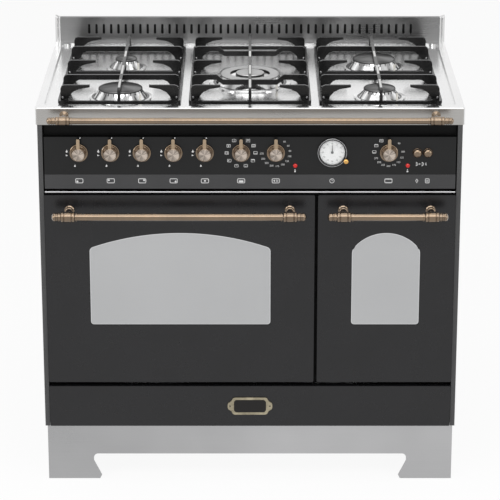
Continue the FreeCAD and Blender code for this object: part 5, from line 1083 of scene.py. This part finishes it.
def rimmed(radius, *steps):
    """The profile of a round edge: each step is given back from a radius and up from its foot, in millimetres."""
    return [(radius - back / 1000, up / 1000) for back, up in ((0.6, 0), (0, 0.6), *steps)]


def add_cap(name, profile, back, material, x=0, steps=72, ring=False):
    """Turn and seat a cap, its upright edge near-black as painted shadow of the gap under the cap."""
    cap = turned("cap_" + name, profile, (x, hob_edge + back, cap_foot), "up", steps)
    if ring:
        ring_shaped(cap)
    fit(cap, "cooker", material, "cap_enamel", "burner_caps", smooth=40)
    plan_mapped(cap)
    second_finish(cap, cap_rim_shadow, lambda face: abs(face.normal.z) < 0.5)


for node, material in (("burner_bases", dish_chrome), ("burner_heads", burner_chrome)):
    rounds = merged_copy(node, node + "_turned")
    soften(rounds, 0.0003, segments=1, angle=30)
    plan_mapped(fit(rounds, "cooker", material, "burner_aluminium", node, smooth=35, outward=False))
for name, (x, back, radius) in burners.items():
    crown = [(radius * 0.72, 0.0066), (radius * 0.4, 0.0074), (radius * 0.1, 0.0077)]
    add_cap(name, [(radius * 0.9, 0)] + rimmed(radius, (0, 2.2), (0.8, 3.4), (2.6, 4.5), (6, 5.6)) + crown, back,
            cap_satin, x)
ring_inside = [(ring_inner + 0.002, 0.004), (ring_inner + 0.0004, 0.0034), (ring_inner, 0.0028), (ring_inner, 0.0004)]
add_cap("centre_ring", [(ring_inner, 0)] + rimmed(ring_outer, (0, 2.2), (1.2, 3.6), (3, 4)) + ring_inside, centre_back,
        ring_satin, steps=96, ring=True)
add_cap("centre_middle", [(inner_cap * 0.9, 0)] + rimmed(inner_cap, (0, 4.4), (1, 5.6), (3, 6.3)) + [
    (inner_cap * 0.5, 0.0065), (inner_cap * 0.1, 0.0065)], centre_back, ring_satin)


# Pan supports
# Three cast iron grids in satin black enamel, with fingers, cross bars and one long bar each. Their cast edges
# are rounded, and a steel rivet holds each blade's foot. Stretches of the long bar's top over the burners carry a
# painted highlight.
cast_black = enamelled("cast_black", (0.006, 0.006, 0.006), 0.24, peel_size=620, smudge=0.2, mottle=0.2, bump=0.08,
                       shine=0.3)
support_low, support_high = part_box("pan_support_centre")
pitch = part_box("pan_support_right")[0][0] - support_low[0]
# Stretches of the long bar's top, painted bright and metallic as a painted highlight for the overhead light's
# reflection.
highlight_half, highlight_deep, highlight_stretches = 0.0021, 0.0009, ((0.083, 0.034), (0.202, 0.037), (0.343, 0.025))
tree = cast_black.node_tree
shader = tree.nodes["Principled BSDF"]
parts = add_node(tree, "SeparateXYZ", {0: local(tree)}).outputs
over_burner = 0.0
for back, half in highlight_stretches:
    over_burner = calc(tree, "MAXIMUM", over_burner, calc(tree, "COMPARE", parts["Y"], hob_edge + back, half))
on_top = calc(tree, "GREATER_THAN", parts["Z"], support_high[2] - highlight_deep)
on_spine = calc(tree, "COMPARE", calc(tree, "WRAP", parts["X"], pitch / 2, -pitch / 2), 0.0, highlight_half)
painted_highlight = calc(tree, "MULTIPLY", calc(tree, "MULTIPLY", on_spine, on_top), over_burner)
# The painted highlight mixed over the cast black.
feed(cast_black, mixed(tree, painted_highlight, shader.inputs["Base Color"].links[0].from_socket, (0.62, 0.62, 0.61, 1)))
tree.links.new(painted_highlight, shader.inputs["Metallic"])

rows, blade_half, stud_inset, stud_rise = (0.06, 0.239, 0.5, 0.761, 0.94), 0.003, 0.0087, 0.0115
grid_bend, stud_seat = 0.0009, 0.0002
stud_profile = mm((2.7, 0), (2.7, 0.5), (2.2, 1.3), (1.2, 1.8), (0.3, 1.9))
stud_steel = grained("stud_steel", (0.16, 0.16, 0.16), 0.25, (300, 300, 300), 0.1, 0.1, cloud_size=60)
for side in ("left", "centre", "right"):
    node = "pan_support_" + side
    grid = merged_copy(node, "pan_grid_" + side)
    soften(grid, grid_bend, angle=38)
    fit(grid, node, cast_black, "iron", node, smooth=40)
    low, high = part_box(node)
    studs = [turned("stud", stud_profile, (x, low[1] + (high[1] - low[1]) * share - blade_half + stud_seat,
                                           low[2] + stud_rise), steps=16)
             for share in rows for x in (low[0] + stud_inset, high[0] - stud_inset)]
    fit(joined(studs, "pan_studs_" + side), node, stud_steel, "iron", smooth=50)


# Splashback
# A folded guard of brushed steel, pierced by a row of vents, with a folded bright edge piece at each end.
splash_steel = grained("splash_steel", (0.215, 0.215, 0.215), 0.28, (5, 900, 900), 0.04, 0.16, cloud_size=4.0,
                       bump=0.012)
# A near-black steel for the guard's inside: painted shade within the hollow guard and its vents.
splash_inside_shade = grained("splash_inside_shade", (0.03, 0.03, 0.03), 0.5, (5, 900, 900), 0.05, 0.1, cloud_size=4.0)
low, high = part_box("splashback")
end_wide, end_rise, splash_sheet, guard_bend, edge_bend = 0.012, 0.004, 0.0012, 0.0005, 0.0006
left, right, top = low[0] + end_wide, high[0] - end_wide, high[2] - end_rise
guard_front = low[1] + splash_sheet
guard = block("splash_guard", (left, guard_front, low[2]), (right, high[1], top))
apply_modifier(guard, "SOLIDIFY", thickness=splash_sheet, offset=-1)
vents, vent_pitch, vent_half, vent_foot, vent_tall = 45, 0.0169, 0.0029, 0.019, 0.023
vent_start, vent_long = 0.004, 0.006
vent_z = low[2] + vent_foot + vent_half
vent = turned("vent_cutter", [(vent_half, 0), (vent_half, vent_long)],
              (-vent_pitch * (vents - 1) / 2, low[1] + vent_start, vent_z), steps=12)
choose(vent, "VERT", lambda vert: vert.co.z > vent_z + 0.00005)
bpy.ops.transform.translate(value=(0, 0, vent_tall - vent_half * 2))
apply_modifier(vent, "ARRAY", count=vents, use_relative_offset=False, use_constant_offset=True,
               constant_offset_displace=(vent_pitch, 0, 0))
combine(guard, vent)
soften(guard, guard_bend, angle=50)
fit(guard, "cooker", splash_steel, "hob_steel", "splashback")


def inside_guard(face):
    """Whether a face lies inside the folded guard or in a vent."""
    x, y, z = face.center
    depth = min(x - left, right - x, y - guard_front, high[1] - y, z - low[2], top - z)
    return depth > splash_sheet * 0.45


# The faces inside the guard and its vents get the painted shade.
second_finish(guard, splash_inside_shade, inside_guard)
edge_steel = grained("edge_steel", (0.66, 0.66, 0.66), 0.18, (600, 600, 6), 0.05, 0.06, cloud_size=10, bump=0.015)
edge_front = mm((0, 1.2), (5.2, 0.2), (6.6, 2.2), (7.8, 2.2), (8.6, 0.1))
for side, toward, near_x, far_x in (("left", 1, left, low[0]), ("right", -1, right, high[0])):
    outline = [(far_x + toward * across, low[1] + back) for across, back in edge_front]
    outline += [(near_x, low[1] + 0.0001), (near_x, high[1]), (far_x, high[1])]
    edge_piece = drawn("splash_edge_" + side, [(x, y, low[2]) for x, y in outline], (0, 0, top - low[2]))
    choose(edge_piece, "VERT", lambda vert: near(vert.co.z, top) and near(vert.co.x, far_x))
    bpy.ops.transform.translate(value=(0, 0, end_rise))
    soften(edge_piece, edge_bend, segments=3, angle=30)
    fit(edge_piece, "cooker", edge_steel, "hob_steel", "splashback")


# Towel rail
# A bronze bar with capped ends, held in front of the hob by two turned posts with collars.
bar_on_posts("towel", "cooker", "towel_rail", hob_edge, radius=0.0069, collar=0.0096, cap=0.0075,
             post_radius=0.0052, rose=0.0095)


# Camera, lamps and floor
# A pale floor runs back behind the cooker, with soft studio light from above and both sides. The camera looks
# down on the hob from the front.
def seen(tree):
    """1 where the camera, a mirror or clear glass looks on, so that all three show a white studio."""
    ray = add_node(tree, "LightPath").outputs
    return calc(tree, "MAXIMUM", calc(tree, "MAXIMUM", ray["Is Camera Ray"], ray["Is Glossy Ray"]),
                ray["Is Transmission Ray"])


floor_size, floor_back, floor_gap, floor_glow, dim_sky, full_sky = 60, 10, 0.0005, 0.92, 0.45, 1.0
deselect()
bpy.ops.mesh.primitive_plane_add(size=floor_size, location=(0, floor_back, cad_low.z - floor_gap))
floor = settled("studio_floor")
floor_finish = finish_named("floor_white", (0.9, 0.9, 0.9), 0, 0.9)
plain(floor_finish, Specular_IOR_Level=0)
tree = floor_finish.node_tree
white = add_node(tree, "Emission", {"Color": (1, 1, 1, 1), "Strength": 1.0})
blend = add_node(tree, "MixShader", {0: calc(tree, "MULTIPLY", seen(tree), floor_glow),
                                     1: tree.nodes["Principled BSDF"].outputs[0], 2: white.outputs[0]})
tree.links.new(blend.outputs[0], tree.nodes["Material Output"].inputs["Surface"])
floor.data.materials.append(floor_finish)

world = bpy.data.worlds.new("studio")
bpy.context.scene.world = world
world.use_nodes = True
sky = world.node_tree.nodes["Background"]
sky.inputs["Color"].default_value = (1, 1, 1, 1)
tree = world.node_tree
tree.links.new(ranged(tree, seen(tree), 0.0, 1.0, dim_sky, full_sky), sky.inputs["Strength"])


def hung(name, data, place, turn):
    """A lamp or camera put in its place."""
    thing = bpy.data.objects.new(name, data)
    bpy.context.scene.collection.objects.link(thing)
    thing.location, thing.rotation_euler = place, turn
    return thing


for name, place, target, size, power in (
        ("overhead_lamp", (0, -0.4, 2.9), (0, 0, 0.5), (2.6, 1.2), 18),
        ("front_lamp", (0, -2.3, 2.7), (0, -0.2, 0.75), (3.0, 1.5), 44),
        ("left_lamp", (-2.4, -2.2, 1.6), (0, 0, 0.5), (1.0, 1.8), 20),
        ("right_lamp", (2.4, -2.0, 1.5), (0, 0, 0.5), (1.0, 1.8), 12)):
    lamp = bpy.data.lights.new(name, "AREA")
    lamp.shape, lamp.energy = "RECTANGLE", power
    lamp.size, lamp.size_y = size
    hung(name, lamp, place, (Vector(target) - Vector(place)).to_track_quat("-Z", "Y").to_euler())

camera_data = bpy.data.cameras.new("camera")
camera_data.lens, camera_place, camera_tilt = 175.85, (0, -5.19995, 2.18305), 0.322
bpy.context.scene.camera = hung("camera", camera_data, camera_place, (right_angle - camera_tilt, 0, 0))
bpy.context.scene.view_settings.view_transform = "Standard"
